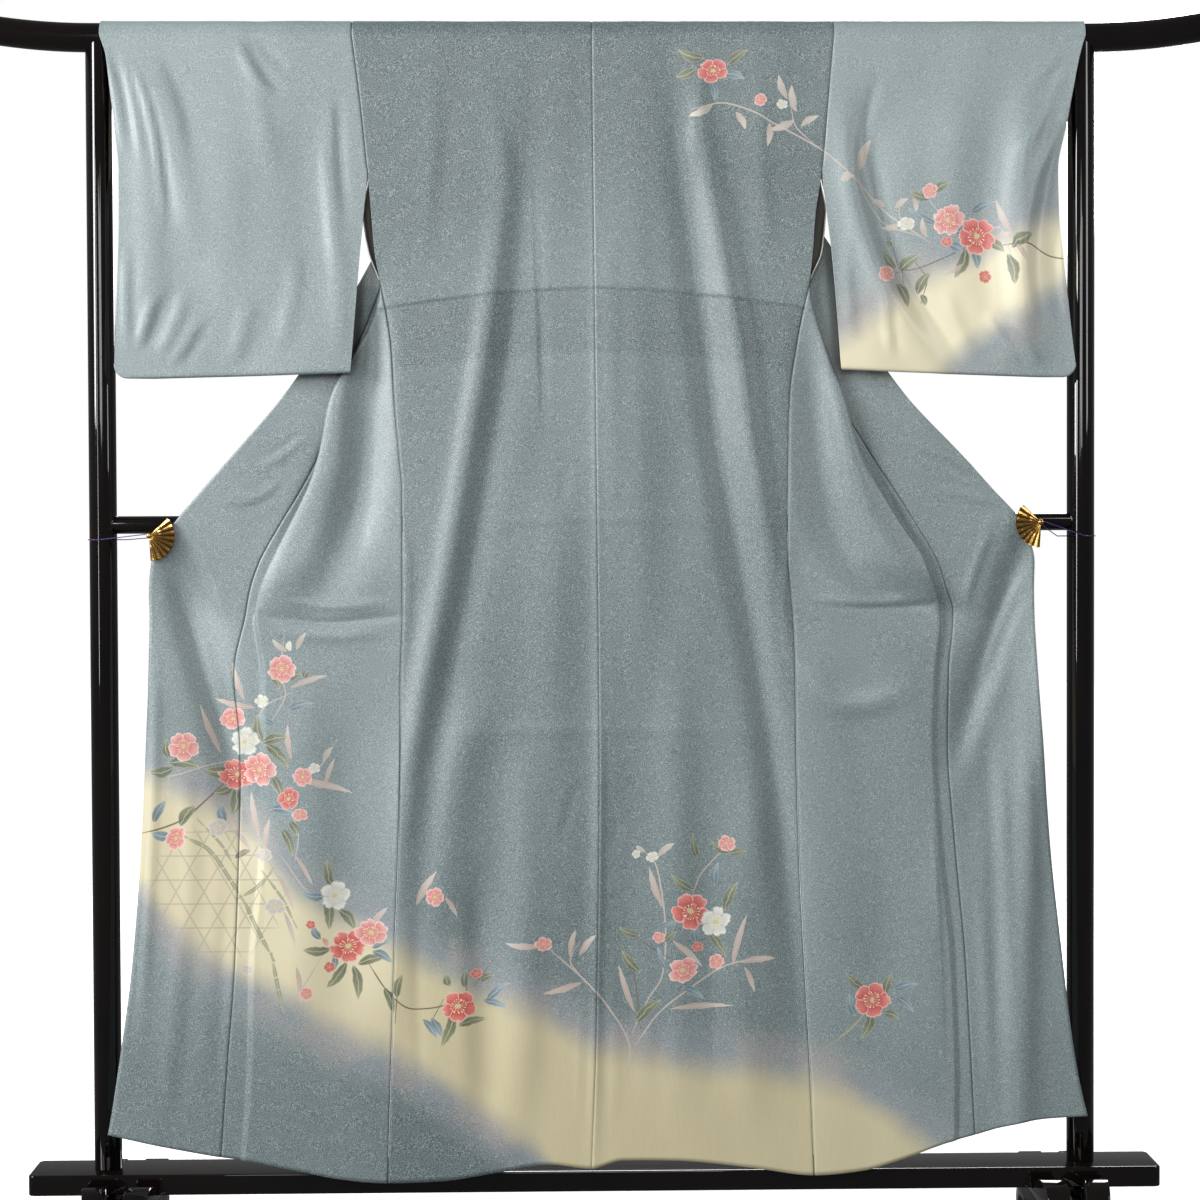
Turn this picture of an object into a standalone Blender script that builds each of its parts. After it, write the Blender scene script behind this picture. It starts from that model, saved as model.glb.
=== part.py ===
"""A silk visiting kimono, spread with its back to the viewer on a lacquered kimono rack.

Metres, +Z up.  +X is to the right of someone who faces the kimono's back and +Y is away
from them.  The origin is on the floor under the middle of the rack.
"""
import math
from collections import namedtuple

import bmesh
import bpy
from mathutils import Vector

# ---------------------------------------------------------------- driving sizes: the rack
BAR_RADIUS = 0.020
BAR_HEIGHT = 1.678          # axis of the top bar
BAR_STRAIGHT = 0.690        # half length before the ends sweep up
BAR_HALF = 0.900
BAR_LIFT = 0.027            # rise of each tip
BAR_SWEEP = 9               # steps in the curve of each end
TIP_ROUND = 0.006           # each end draws in over this length
TIP_SHARE = 0.72            # to this share of the radius
POST_RADIUS = 0.019
POST_ACROSS = 0.6806
RAIL_RADIUS = 0.01225
RAIL_HEIGHT = 1.005
PLANK_HALF = 0.7844
PLANK_DEPTH = 0.0934
PLANK_THICK = 0.0285
PLANK_CORNER = 0.009
FOOT_HEIGHT = 0.080
FOOT_ACROSS = 0.656         # middle of each pair of feet
FOOT_SPREAD = 0.036         # each foot board from the middle of its pair
FOOT_THICK = 0.034
FOOT_REACH = 0.176
TOE_GAP = 0.002             # between the two toes of a pair
EDGE_SOFT = 0.0015          # width of the softened edges of the boards
SADDLE_REACH = 0.060        # half length of the cutters that seat the bar and the rail
SEAT_GAP = 0.0003           # between pieces that touch

# --------------------------------------------------------------- driving sizes: the cloth
WALL = 0.0016               # outer silk and lining, sewn edge to edge
HANG_RADIUS = 0.0217        # middle of the cloth wall over the bar
LEAN = 0.0256               # how far the back hangs forward for each metre down
FRONT_WIDTH = 0.2345        # cut width of a front between its seams
NECK_HALF = 0.092           # half the neck opening
LAYER = 0.0075              # between the layers of the big front pleat
FULL_OVERLAP = 0.020        # overlap from which a pleat's layers lie that far apart
GAP_GROW = 0.030            # below the bar's axis, before its first overlap
STEP = 0.0040               # depth of the soft step that is left below the pleat
STEP_TOP = 0.870            # the pleat has run out into the step here
STEP_GROW = 0.030           # over this height above it the pleat takes up the slack
FOLD_ROUND = 0.006          # half the length of cloth in a pleat's bend
BEND_COLUMNS = 0.85         # the mesh's columns beside a bend, as a share of that
FOLDS_START = 1.670         # height where the fronts' folds begin
FOLDS_GROW = 0.080          # over this height they take up the slack of the cloth
FOLDS_GATHER = 0.020        # over this height the mesh's columns gather on the bends
SLIT_TOP = 1.490            # end of the sleeve seam, top of the open slit and of the gore
SLIT_END = 1.335            # bottom of the slit, top of the side seam
SIDE_TURN = 0.050           # the front's edge passes the back's over this height above it
HEM_LEVEL = 0.100           # the panels are cut level here, then follow the hem line
HEM_REACH = 0.300           # height over which the hem line's waves fade out
NECK_ANGLE = math.radians(154)   # the neck line, round the bar from the near side

COLLAR_WALL = 0.0024
COLLAR_WIDTH = 0.052
COLLAR_END = 0.985
OVER_COLLAR_END = 1.330
OVER_COLLAR_WALL = 0.0012
OVER_COLLAR_INSET = 0.0006
COLLAR_CLEAR = 0.0009       # between the fronts and the collar
OVER_COLLAR_CLEAR = 0.0008  # and between the collar and its cover
COLLAR_FLARE = 0.0026       # how much further out the collar's free edge stands

SLEEVE_BOTTOM = 1.210
SLEEVE_CORNER = 0.018
FAR_INSET = 0.006           # the far layer's open edge, further out than the near one's
SLEEVE_FORWARD = 0.0110     # how far the lower inner corner hangs in front of the front panel
CUFF_END = 1.450            # the cuff is sewn shut below this height
CUFF_PINCH = 0.0026         # middle to middle of the two layers where they are sewn
CUFF_GROW = 0.050           # over this height above it the seam's pinch comes in
CUFF_SHARE = 0.20           # and over this share of the sleeve's width
SLEEVE_FOLD = 0.0060        # middle to middle just above the bottom fold
FOLD_CLOSE = 0.060          # height over which the layers close to that
SAG_REACH = 0.120           # height over which the bottom's slope fades out
FORWARD_TOP = 1.420         # the sleeve's inner part swings forward from here
FORWARD_DROP = 0.140        # all the way within this drop
FORWARD_ACROSS = (0.380, 0.500)   # all the way up to here, and not at all beyond there

CLIP_RADIUS = 0.038
CLIP_WALL = 0.0012
CLIP_PLEATS = 9
CLIP_RIDGE = 0.0011         # half the height of its pleats at the rim
CLIP_HUB = 0.0024           # clear radius round the rivet
TIE_RADIUS = 0.0008
TIE_BELOW = 0.008           # the thread on the post, below the rail
TIE_BACK = 0.005            # and on the rivet, behind the middle of the fan
TIE_BEND = 0.036            # where it turns under the rail, from the post's axis

# ------------------------------------------------------------------------------- tables
# Distances from the centre seam, by height.  side: the back's edge.  bow: how much further
# the front's slit edge reaches.  flap: from the side seam to the visible fold of the front.
# seam: the gore seam (above the gore, the collar seam).  edge: the outermost edge.
Width = namedtuple("Width", "height side bow flap seam edge")
LEFT_WIDTHS = (
    Width(1.678, .331, .000, .000, .092, .092),
    Width(1.600, .321, .000, .000, .150, .150),
    Width(1.490, .310, .000, .000, .232, .236),
    Width(1.430, .305, .004, .000, .254, .268),
    Width(1.380, .301, .003, .000, .275, .300),
    Width(1.335, .293, .000, .000, .292, .325),
    Width(1.300, .286, .000, .014, .306, .346),
    Width(1.250, .279, .000, .045, .326, .380),
    Width(1.180, .275, .000, .087, .351, .430),
    Width(1.100, .268, .000, .111, .380, .499),
    Width(1.050, .264, .000, .132, .406, .543),
    Width(1.000, .264, .000, .157, .436, .584),
    Width(0.950, .264, .000, .182, .463, .611),
    Width(0.910, .264, .000, .198, .476, .614),
    Width(0.880, .264, .000, .203, .481, .613),
    Width(0.800, .267, .000, .190, .497, .614),
    Width(0.700, .268, .000, .189, .490, .618),
    Width(0.560, .271, .000, .188, .491, .625),
    Width(0.400, .278, .000, .196, .497, .638),
    Width(0.250, .283, .000, .194, .508, .656),
    Width(0.100, .288, .000, .199, .517, .672),
)
RIGHT_WIDTHS = (
    Width(1.678, .334, .000, .000, .092, .092),
    Width(1.600, .327, .000, .000, .151, .151),
    Width(1.490, .317, .000, .000, .235, .240),
    Width(1.430, .308, .008, .000, .257, .299),
    Width(1.380, .304, .006, .000, .274, .335),
    Width(1.335, .299, .000, .000, .288, .350),
    Width(1.300, .291, .000, .013, .299, .363),
    Width(1.250, .281, .000, .039, .315, .386),
    Width(1.180, .271, .000, .074, .338, .434),
    Width(1.100, .269, .000, .100, .384, .509),
    Width(1.050, .268, .000, .127, .417, .554),
    Width(1.000, .267, .000, .158, .448, .596),
    Width(0.950, .267, .000, .190, .476, .612),
    Width(0.910, .271, .000, .200, .489, .611),
    Width(0.880, .274, .000, .205, .498, .611),
    Width(0.800, .277, .000, .196, .490, .613),
    Width(0.700, .278, .000, .191, .488, .619),
    Width(0.560, .281, .000, .196, .497, .629),
    Width(0.400, .288, .000, .205, .511, .646),
    Width(0.250, .295, .000, .203, .518, .662),
    Width(0.100, .300, .000, .197, .523, .680),
)
WIDTHS = {-1: LEFT_WIDTHS, 1: RIGHT_WIDTHS}

# How far the centre seam strays to the right, by height.
CENTRE_LINE = ((0.10, -.007), (0.30, .000), (0.70, .006), (1.20, .003), (1.678, .000))

# Height of the hem, by place across the whole width.
HEM_LINE = ((-.672, .167), (-.593, .149), (-.517, .135), (-.486, .131), (-.408, .115),
            (-.354, .104), (-.288, .098), (-.216, .100), (-.134, .112), (-.065, .122),
            (-.008, .116), (.036, .127), (.109, .126), (.215, .115), (.300, .104),
            (.363, .109), (.427, .127), (.480, .146), (.525, .158), (.560, .168),
            (.607, .178), (.680, .182))

# Sleeve edges by height: inner (open edge beside the slit; above it the body's edge holds),
# outer (cuff) and outer on the far layer, which hangs inside the post.
Sleeve = namedtuple("Sleeve", "height inner outer far")
LEFT_SLEEVE = (
    Sleeve(1.678, .3310, .677, .657),
    Sleeve(1.650, .3275, .668, .655),
    Sleeve(1.600, .3210, .662, .653),
    Sleeve(1.550, .3158, .656, .651),
    Sleeve(1.490, .3100, .651, .649),
    Sleeve(1.430, .3150, .651, .651),
    Sleeve(1.380, .3200, .652, .652),
    Sleeve(1.300, .3260, .655, .655),
    Sleeve(1.210, .3330, .658, .658),
)
RIGHT_SLEEVE = (
    Sleeve(1.678, .3343, .683, .657),
    Sleeve(1.650, .3318, .675, .655),
    Sleeve(1.600, .3273, .665, .653),
    Sleeve(1.550, .3222, .655, .651),
    Sleeve(1.490, .3173, .644, .643),
    Sleeve(1.430, .3230, .645, .645),
    Sleeve(1.380, .3290, .649, .649),
    Sleeve(1.300, .3350, .658, .658),
    Sleeve(1.210, .3405, .667, .667),
)
SLEEVES = {-1: LEFT_SLEEVE, 1: RIGHT_SLEEVE}
SLEEVE_SAG = {-1: (1.216, 1.208), 1: (1.219, 1.206)}    # bottom at the body and at the cuff

# Soft ridges (+) and troughs (-): across and height of the top, middle and low end, half
# the width, and how far the cloth stands forward.
Fold = namedtuple("Fold", "top_x top_z mid_x mid_z low_x low_z half rise")
FOLDS = (
    Fold(-.131, 1.520, -.150, 1.370, -.203, 1.060, .022, .0060),
    Fold(-.145, 1.330, -.190, 1.030, -.262, 0.600, .020, -.0050),
    Fold(-.159, 0.780, -.195, 0.640, -.230, 0.480, .026, .0040),
    Fold(.134, 1.530, .152, 1.290, .262, 0.870, .022, .0060),
    Fold(.208, 1.280, .258, 1.130, .266, 0.920, .018, -.0050),
    Fold(.118, 1.120, .170, 0.800, .275, 0.400, .028, -.0045),
    Fold(-.292, 1.160, -.315, 1.020, -.370, 0.880, .022, .0050),
    Fold(-.335, 1.170, -.350, 1.090, -.352, 0.970, .014, -.0050),
    Fold(.318, 1.160, .365, 1.040, .455, 0.890, .026, .0045),
    Fold(.302, 0.870, .302, 0.780, .298, 0.660, .026, .0050),
    Fold(-.585, 0.950, -.535, 0.740, -.470, 0.540, .024, -.0070),
    Fold(.605, 0.965, .545, 0.830, .500, 0.680, .022, -.0070),
    Fold(.590, 0.930, .565, 0.700, .570, 0.220, .024, .0060),
)
# Folds of the sleeves, in the same columns.
SLEEVE_FOLDS = (
    Fold(-.480, 1.676, -.462, 1.600, -.440, 1.520, .012, .0035),
    Fold(-.625, 1.660, -.585, 1.560, -.540, 1.400, .018, .0045),
    Fold(-.400, 1.500, -.392, 1.400, -.400, 1.260, .020, -.0040),
    Fold(.425, 1.620, .375, 1.480, .500, 1.260, .020, -.0050),
    Fold(.620, 1.560, .585, 1.400, .612, 1.250, .022, .0050),
)
# The belly of each front above its lowest crease: middle, half size each way, rise.
Belly = namedtuple("Belly", "x z half_x half_z rise")
BELLIES = (
    Belly(-.370, .925, .085, .040, .0070),
    Belly(.370, .915, .085, .040, .0070),
    Belly(-.365, .868, .095, .012, -.0045),
    Belly(.375, .868, .095, .012, -.0045),
    Belly(-.600, .985, .055, .060, .0050),
    Belly(.606, .998, .055, .060, .0050),
)

BODY_ROWS = (.10, .15, .22, .31, .40, .49, .58, .67, .75, .82, .86, .885, .91, .94, .97, 1.00,
             1.04, 1.09, 1.14, 1.19, 1.24, 1.28, 1.31, 1.335, 1.37, 1.41, 1.45, 1.49, 1.55,
             1.61, 1.65)
BAR_TURNS = tuple(math.radians(turn) for turn in (26, 51, 77, 103, 129, 154, 180))
SLEEVE_ROWS = (1.21, 1.24, 1.30, 1.36, 1.42, 1.455, 1.49, 1.55, 1.61, 1.65, 1.678)
COLLAR_ROWS = (.985, 1.00, 1.04, 1.09, 1.14, 1.19, 1.24, 1.28, 1.335, 1.37, 1.41, 1.45, 1.49,
               1.55, 1.61)
NECK_CURVE = ((.1110, 1.6560), (.0880, 1.6725), (.0590, 1.6805), (.0300, 1.6830))
NECK_COLUMNS = 3
FRONT_COLUMNS = 10
GORE_COLUMNS = 4
SLEEVE_COLUMNS = 8
SLEEVE_CROWD = 0.35         # how far these crowd towards the sleeve's two edges
COLLAR_COLUMNS = 3

SIDE_NAMES = {-1: "left", 1: "right"}


# ----------------------------------------------------------------------- small helpers
def clamp(value):
    return min(1.0, max(0.0, value))


def ease(value):
    """0 to 1 with no corner at either end."""
    value = clamp(value)
    return value * value * (3 - 2 * value)


def read(points, place):
    """A smooth value through (place, value) points that never overshoots them."""
    points = sorted(points)
    if place <= points[0][0]:
        return points[0][1]
    if place >= points[-1][0]:
        return points[-1][1]
    steps = [(b[1] - a[1]) / (b[0] - a[0]) for a, b in zip(points, points[1:])]
    slopes = [steps[0]]
    for before, after in zip(steps, steps[1:]):
        same_way = before * after > 0
        slopes.append(2 * before * after / (before + after) if same_way else 0.0)
    slopes.append(steps[-1])
    for index in range(len(steps)):
        x0, y0 = points[index]
        x1, y1 = points[index + 1]
        if place <= x1:
            span = x1 - x0
            t = (place - x0) / span
            return (y0 * (1 + 2 * t) * (1 - t) ** 2 + y1 * t * t * (3 - 2 * t)
                    + span * (slopes[index] * t * (1 - t) ** 2
                              - slopes[index + 1] * t * t * (1 - t)))


def column(table, name, height):
    return read([(row.height, getattr(row, name)) for row in table], height)


# ------------------------------------------------------------------- depth of the cloth
def fold_rise(folds, x, z):
    """How far the listed folds push the cloth forward at a place."""
    rise = 0.0
    for fold in folds:
        if fold.low_z < z < fold.top_z:
            path = read([(fold.low_z, fold.low_x), (fold.mid_z, fold.mid_x),
                         (fold.top_z, fold.top_x)], z)
            middle = 1 - abs(2 * (z - fold.low_z) / (fold.top_z - fold.low_z) - 1)
            rise += fold.rise * ease(middle * 1.8) * math.exp(-((x - path) / fold.half) ** 2)
    return rise


def swell(x, z):
    """Forward relief of the body, the same for every layer that lies at a place."""
    rise = fold_rise(FOLDS, x, z)
    for belly in BELLIES:
        away = ((x - belly.x) / belly.half_x) ** 2 + ((z - belly.z) / belly.half_z) ** 2
        rise += belly.rise * math.exp(-away)
    return rise


def back_depth(height):
    return -HANG_RADIUS - LEAN * (BAR_HEIGHT - height)


def layer_gap(height, overlap):
    """Middle to middle of two layers of the pleat, where they overlap this far."""
    if height > SLIT_TOP:
        return LAYER * ease((BAR_HEIGHT - height) / GAP_GROW)
    return STEP / 2 + (LAYER - STEP / 2) * clamp(overlap / FULL_OVERLAP)


def under_depth(height, overlap):
    """Depth of the layer behind: over the bar's far side, down to just behind the back."""
    spread = clamp((height - SLIT_END) / (BAR_HEIGHT - SLIT_END))
    near = layer_gap(height, overlap)
    return back_depth(height) + near + (2 * HANG_RADIUS - near) * spread


def slit_depth(height, under):
    """Depth of the front's own slit edge, which closes on the back at the side seam."""
    closed = ease((SLIT_TOP - height) / (SLIT_TOP - SLIT_END))
    return under + (back_depth(height) + WALL + SEAT_GAP - under) * closed


# --------------------------------------------------------------------- the pleated front
Pleat = namedtuple("Pleat", "side fold tuck seam back under deep")


def pleat_at(side, height):
    """Where the front turns at one height, as distances from the centre, and its depths."""
    table = WIDTHS[side]
    start = column(table, "side", height) + column(table, "bow", height)
    fold = start + column(table, "flap", height)
    seam = column(table, "seam", height)
    slack = max(0.0, FRONT_WIDTH - abs(seam - fold) - (fold - start)) / 2
    slack *= ease((FOLDS_START - height) / FOLDS_GROW) * ease((height - STEP_TOP) / STEP_GROW)
    tuck = min(seam, fold) - slack
    under = under_depth(height, slack)
    deep = under + layer_gap(height, slack)
    back = back_depth(height) if height < SLIT_END else slit_depth(height, under)
    gap = SEAT_GAP * (1 - 2 * ease((height - SLIT_END) / SIDE_TURN))
    return Pleat(start + gap, fold + gap, tuck, seam, back, under, deep)


def deep_depth(side, height):
    return pleat_at(side, height).deep


def along(corners, distance):
    """A place on a chain of straight legs, by distance from its start."""
    for start, end in zip(corners, corners[1:]):
        leg = math.dist(start, end)
        if distance <= leg and leg > 0:
            share = distance / leg
            return [a + (b - a) * share for a, b in zip(start, end)]
        distance -= leg
    return list(corners[-1])


def front_stations(pleat, height, columns):
    """Distances along the pleated line, with the same column on each bend at every height."""
    bend = FOLD_ROUND * BEND_COLUMNS
    first = pleat.fold - pleat.side + (pleat.under - pleat.back) / 2
    second = first + (pleat.deep - pleat.back) / 2 + pleat.fold - pleat.tuck
    whole = second + (pleat.deep - pleat.under) / 2 + pleat.seam - pleat.tuck
    second = min(max(second, 6 * bend), whole - 2 * bend)
    first = min(max(first, 2.5 * bend), second - 3 * bend)
    knots = (0, (first - bend) / 2, first - bend, first, first + bend, (first + second) / 2,
             second - bend, second, second + bend, (second + bend + whole) / 2, whole)
    folded = ease((FOLDS_START - height) / FOLDS_GATHER)
    stations = []
    for index in range(columns + 1):
        share = index / columns
        low = min(int(share * (len(knots) - 1)), len(knots) - 2)
        place = knots[low] + (knots[low + 1] - knots[low]) * (share * (len(knots) - 1) - low)
        stations.append(share * whole + (place - share * whole) * folded)
    return stations, whole


def front_point(pleat, distance, whole):
    """Across and depth at a distance along the pleated line, its bends rounded."""
    corners = ((pleat.side, pleat.back), (pleat.fold, pleat.back), (pleat.fold, pleat.under),
               (pleat.tuck, pleat.under), (pleat.tuck, pleat.deep), (pleat.seam, pleat.deep))
    reach = min(FOLD_ROUND, distance, whole - distance)
    spots = [along(corners, distance + reach * step / 4) for step in range(-4, 5)]
    return sum(spot[0] for spot in spots) / 9, sum(spot[1] for spot in spots) / 9


def settle(x, height):
    """Height of a point once the panel's end follows the hem line."""
    fade = clamp(1 - (height - HEM_LEVEL) / HEM_REACH) ** 2
    return height + (read(HEM_LINE, x) - HEM_LEVEL) * fade


def place_body(x, depth, height):
    z = settle(x, height)
    return Vector((x, depth - swell(x, z), z))


# --------------------------------------------------------------------- meshes and objects
def material(name, colour, roughness, metallic=0.0):
    made = bpy.data.materials.new(name)
    made.use_nodes = True
    shader = made.node_tree.nodes["Principled BSDF"]
    shader.inputs["Base Color"].default_value = (*colour, 1)
    shader.inputs["Roughness"].default_value = roughness
    shader.inputs["Metallic"].default_value = metallic
    made.diffuse_color = (*colour, 1)
    return made


def add_object(name, mesh, surface, smooth=True):
    thing = bpy.data.objects.new(name, mesh)
    PARTS.objects.link(thing)
    mesh.materials.clear()
    mesh.materials.append(surface)
    if smooth:
        mesh.shade_smooth()
        mesh.set_sharp_from_angle(angle=math.radians(40))
    return thing


def sheet(name, rows, surface, wall, closed=False):
    """A cloth wall on a grid of points; a None leaves a hole, closed joins last to first."""
    body = bmesh.new()
    grid = [[None if point is None else body.verts.new(point) for point in row] for row in rows]
    pairs = list(zip(grid, grid[1:]))
    if closed:
        pairs.append((grid[-1], grid[0]))
    for lower, upper in pairs:
        for a, b, c, d in zip(lower, lower[1:], upper[1:], upper):
            if None not in (a, b, c, d):
                body.faces.new((a, b, c, d))
    # Both skins of the wall get the same diagonals, so that a twisted patch stays a wall.
    bmesh.ops.triangulate(body, faces=body.faces, quad_method="SHORT_EDGE")
    mesh = bpy.data.meshes.new(name)
    body.to_mesh(mesh)
    body.free()
    thing = add_object(name, mesh, surface)
    shell = thing.modifiers.new("wall", "SOLIDIFY")
    shell.thickness = wall
    shell.offset = 0.0
    return thing


def cylinder(name, radius, start, end, surface, sides=24):
    """A round bar between two points."""
    start, end = Vector(start), Vector(end)
    body = bmesh.new()
    bmesh.ops.create_cone(body, cap_ends=True, segments=sides, radius1=radius, radius2=radius,
                          depth=(end - start).length)
    turn = (end - start).to_track_quat("Z", "Y").to_matrix()
    bmesh.ops.rotate(body, verts=body.verts, cent=(0, 0, 0), matrix=turn)
    bmesh.ops.translate(body, verts=body.verts, vec=(start + end) / 2)
    mesh = bpy.data.meshes.new(name)
    body.to_mesh(mesh)
    body.free()
    return add_object(name, mesh, surface)


def cut(thing, cutter):
    cutter.hide_render = True
    cutter.display_type = "WIRE"
    PARTS.objects.unlink(cutter)
    CUTTERS.objects.link(cutter)
    notch = thing.modifiers.new("notch", "BOOLEAN")
    notch.operation = "DIFFERENCE"
    notch.object = cutter


def tube(name, points, radius, surface, resolution=2, cyclic=False):
    """A round rod along points, each (x, y, z) or (x, y, z, share of the radius)."""
    curve = bpy.data.curves.new(name, "CURVE")
    curve.dimensions = "3D"
    curve.bevel_depth = radius
    curve.bevel_resolution = resolution
    curve.use_fill_caps = not cyclic
    spline = curve.splines.new("POLY")
    spline.points.add(len(points) - 1)
    spline.use_cyclic_u = cyclic
    for spot, point in zip(spline.points, points):
        spot.co = (*point[:3], 1)
        spot.radius = point[3] if len(point) > 3 else 1.0
    curve.materials.append(surface)
    thing = bpy.data.objects.new(name, curve)
    PARTS.objects.link(thing)
    return thing


# ------------------------------------------------------------------------------ the cloth
def body_panel(side, surface):
    """Back, shoulder and front of one half, in one length of cloth."""
    shoulder = column(WIDTHS[side], "side", BAR_HEIGHT)
    neck = [NECK_HALF * index / NECK_COLUMNS for index in range(NECK_COLUMNS)]
    outer = [NECK_HALF + (shoulder - NECK_HALF) * index / FRONT_COLUMNS
             for index in range(FRONT_COLUMNS + 1)]
    shares = [(place / shoulder) for place in neck + outer]
    rows = []
    for height in BODY_ROWS + (BAR_HEIGHT,):
        edge = column(WIDTHS[side], "side", height) - SEAT_GAP
        row = []
        for share in shares:
            across = SEAT_GAP / 2 + share * (edge - SEAT_GAP / 2)
            x = side * across + read(CENTRE_LINE, height) * (1 - share)
            row.append(place_body(x, back_depth(height), height))
        rows.append(row)
    for turn in BAR_TURNS:
        row = []
        for index, share in enumerate(shares):
            x = side * (SEAT_GAP / 2 + share * (shoulder - SEAT_GAP))
            open_neck = index < NECK_COLUMNS and turn > NECK_ANGLE + 0.01
            row.append(None if open_neck else Vector((
                x, -HANG_RADIUS * math.cos(turn), BAR_HEIGHT + HANG_RADIUS * math.sin(turn))))
        rows.append(row)
    for height in reversed(BODY_ROWS):
        pleat = pleat_at(side, height)
        stations, whole = front_stations(pleat, height, FRONT_COLUMNS)
        row = []
        for distance in reversed(stations):
            across, depth = front_point(pleat, distance, whole)
            row.append(place_body(side * across, depth, height))
        rows.append([None] * NECK_COLUMNS + row)
    return sheet(f"body_{SIDE_NAMES[side]}", rows, surface, WALL)


def gore(side, surface):
    """The okumi: from its point at the collar to the hem, outside the front's seam."""
    rows = []
    for height in [row for row in BODY_ROWS if row <= SLIT_TOP]:
        seam = column(WIDTHS[side], "seam", height) + SEAT_GAP
        edge = column(WIDTHS[side], "edge", height)
        depth = deep_depth(side, height)
        rows.append([place_body(side * (seam + (edge - seam) * index / GORE_COLUMNS), depth, height)
                     for index in range(GORE_COLUMNS + 1)])
    return sheet(f"gore_{SIDE_NAMES[side]}", rows, surface, WALL)


def sleeve_bottom(side, x, outer):
    inner_z, outer_z = SLEEVE_SAG[side]
    inner = SLEEVES[side][-1].inner
    share = clamp((abs(x) - inner) / (outer - inner))
    into = max(0.0, abs(x) - (outer - SLEEVE_CORNER))
    corner = SLEEVE_CORNER - math.sqrt(max(0.0, SLEEVE_CORNER ** 2 - into ** 2))
    return inner_z + (outer_z - inner_z) * share + corner


def sleeve_point(side, share, height, far):
    """A point of the near or far layer; share runs from the body to the cuff."""
    table = SLEEVES[side]
    sewn_on = height >= SLIT_TOP
    inner = column(WIDTHS[side], "side", height) if sewn_on else column(table, "inner", height)
    inner += SEAT_GAP if sewn_on or not far else FAR_INSET * ease((SLIT_TOP - height) / CUFF_GROW)
    outer = column(table, "far" if far else "outer", height)
    x = side * (inner + (outer - inner) * share)
    fade = clamp(1 - (height - SLEEVE_BOTTOM) / SAG_REACH) ** 2
    z = height + (sleeve_bottom(side, x, outer) - SLEEVE_BOTTOM) * fade
    depth = back_depth(height)
    if far:
        gap = under_depth(height, FULL_OVERLAP) - depth
        gap += (SLEEVE_FOLD - gap) * clamp(1 - (height - SLEEVE_BOTTOM) / FOLD_CLOSE)
        sewn = ease((CUFF_END + CUFF_GROW - height) / CUFF_GROW)
        sewn *= ease((share - 1 + CUFF_SHARE) / CUFF_SHARE)
        depth += gap + (CUFF_PINCH - gap) * sewn
    near, past = FORWARD_ACROSS
    forward = SLEEVE_FORWARD * ease((FORWARD_TOP - height) / FORWARD_DROP)
    forward *= ease((past - abs(x)) / (past - near))
    return Vector((x, depth - forward - fold_rise(SLEEVE_FOLDS, x, z), z))


def sleeve(side, surface):
    """One length of cloth over the bar, sewn to the body at the top of its inner edge."""
    even = [index / SLEEVE_COLUMNS for index in range(SLEEVE_COLUMNS + 1)]
    shares = [share + (ease(share) - share) * SLEEVE_CROWD for share in even]
    near = [[sleeve_point(side, share, height, False) for share in shares]
            for height in SLEEVE_ROWS]
    far = [[sleeve_point(side, share, height, True) for share in shares]
           for height in reversed(SLEEVE_ROWS)]
    over = []
    for turn in BAR_TURNS[:-1]:
        mix = turn / math.pi
        over.append([Vector((a.x + (b.x - a.x) * ease(mix * 1.5 - .5), -HANG_RADIUS * math.cos(turn),
                             BAR_HEIGHT + HANG_RADIUS * math.sin(turn)))
                     for a, b in zip(near[-1], far[0])])
    fold = [(a + b) / 2 - Vector((0, 0, (b.y - a.y) / 2)) for a, b in zip(near[0], far[-1])]
    return sheet(f"sleeve_{SIDE_NAMES[side]}", near + over + far + [fold], surface, WALL, True)


def collar_line(end):
    """The collar's seam from one end, round the neck, to the other, as (across, height)."""
    halves = {}
    for side in (-1, 1):
        half = []
        for height in COLLAR_ROWS:
            if height > end - 1e-6:
                name = "edge" if height < SLIT_TOP else "seam"
                half.append((side * column(WIDTHS[side], name, height), height))
        half += [(side * x, z) for x, z in NECK_CURVE]
        halves[side] = half
    return halves[-1] + [(0.0, NECK_CURVE[-1][1])] + halves[1][::-1]


def collar_depth(x, z):
    """The furthest layer of the fronts, or the far side of the bar above them."""
    side = -1 if x < 0 else 1
    if z > BAR_HEIGHT:
        return math.sqrt(HANG_RADIUS ** 2 - (z - BAR_HEIGHT) ** 2)
    return deep_depth(side, z)


def collar_band(name, end, inset, lift, wall, surface):
    """A strip folded to the far side of the fronts, moved out from their points."""
    line = collar_line(end)
    rows = []
    for index, (x, z) in enumerate(line):
        before, after = line[max(index - 1, 0)], line[min(index + 1, len(line) - 1)]
        run = Vector((after[0] - before[0], after[1] - before[1])).normalized()
        inward = Vector((run.y, -run.x))
        row = []
        for step in range(COLLAR_COLUMNS + 1):
            reach = inset + (COLLAR_WIDTH - 2 * inset) * step / COLLAR_COLUMNS
            px, pz = x + inward.x * reach, z + inward.y * reach
            away = lift + COLLAR_FLARE * reach / COLLAR_WIDTH
            row.append(Vector((px, collar_depth(px, pz) + away - swell(px, pz), pz)))
        rows.append(row)
    return sheet(name, rows, surface, wall)


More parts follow.
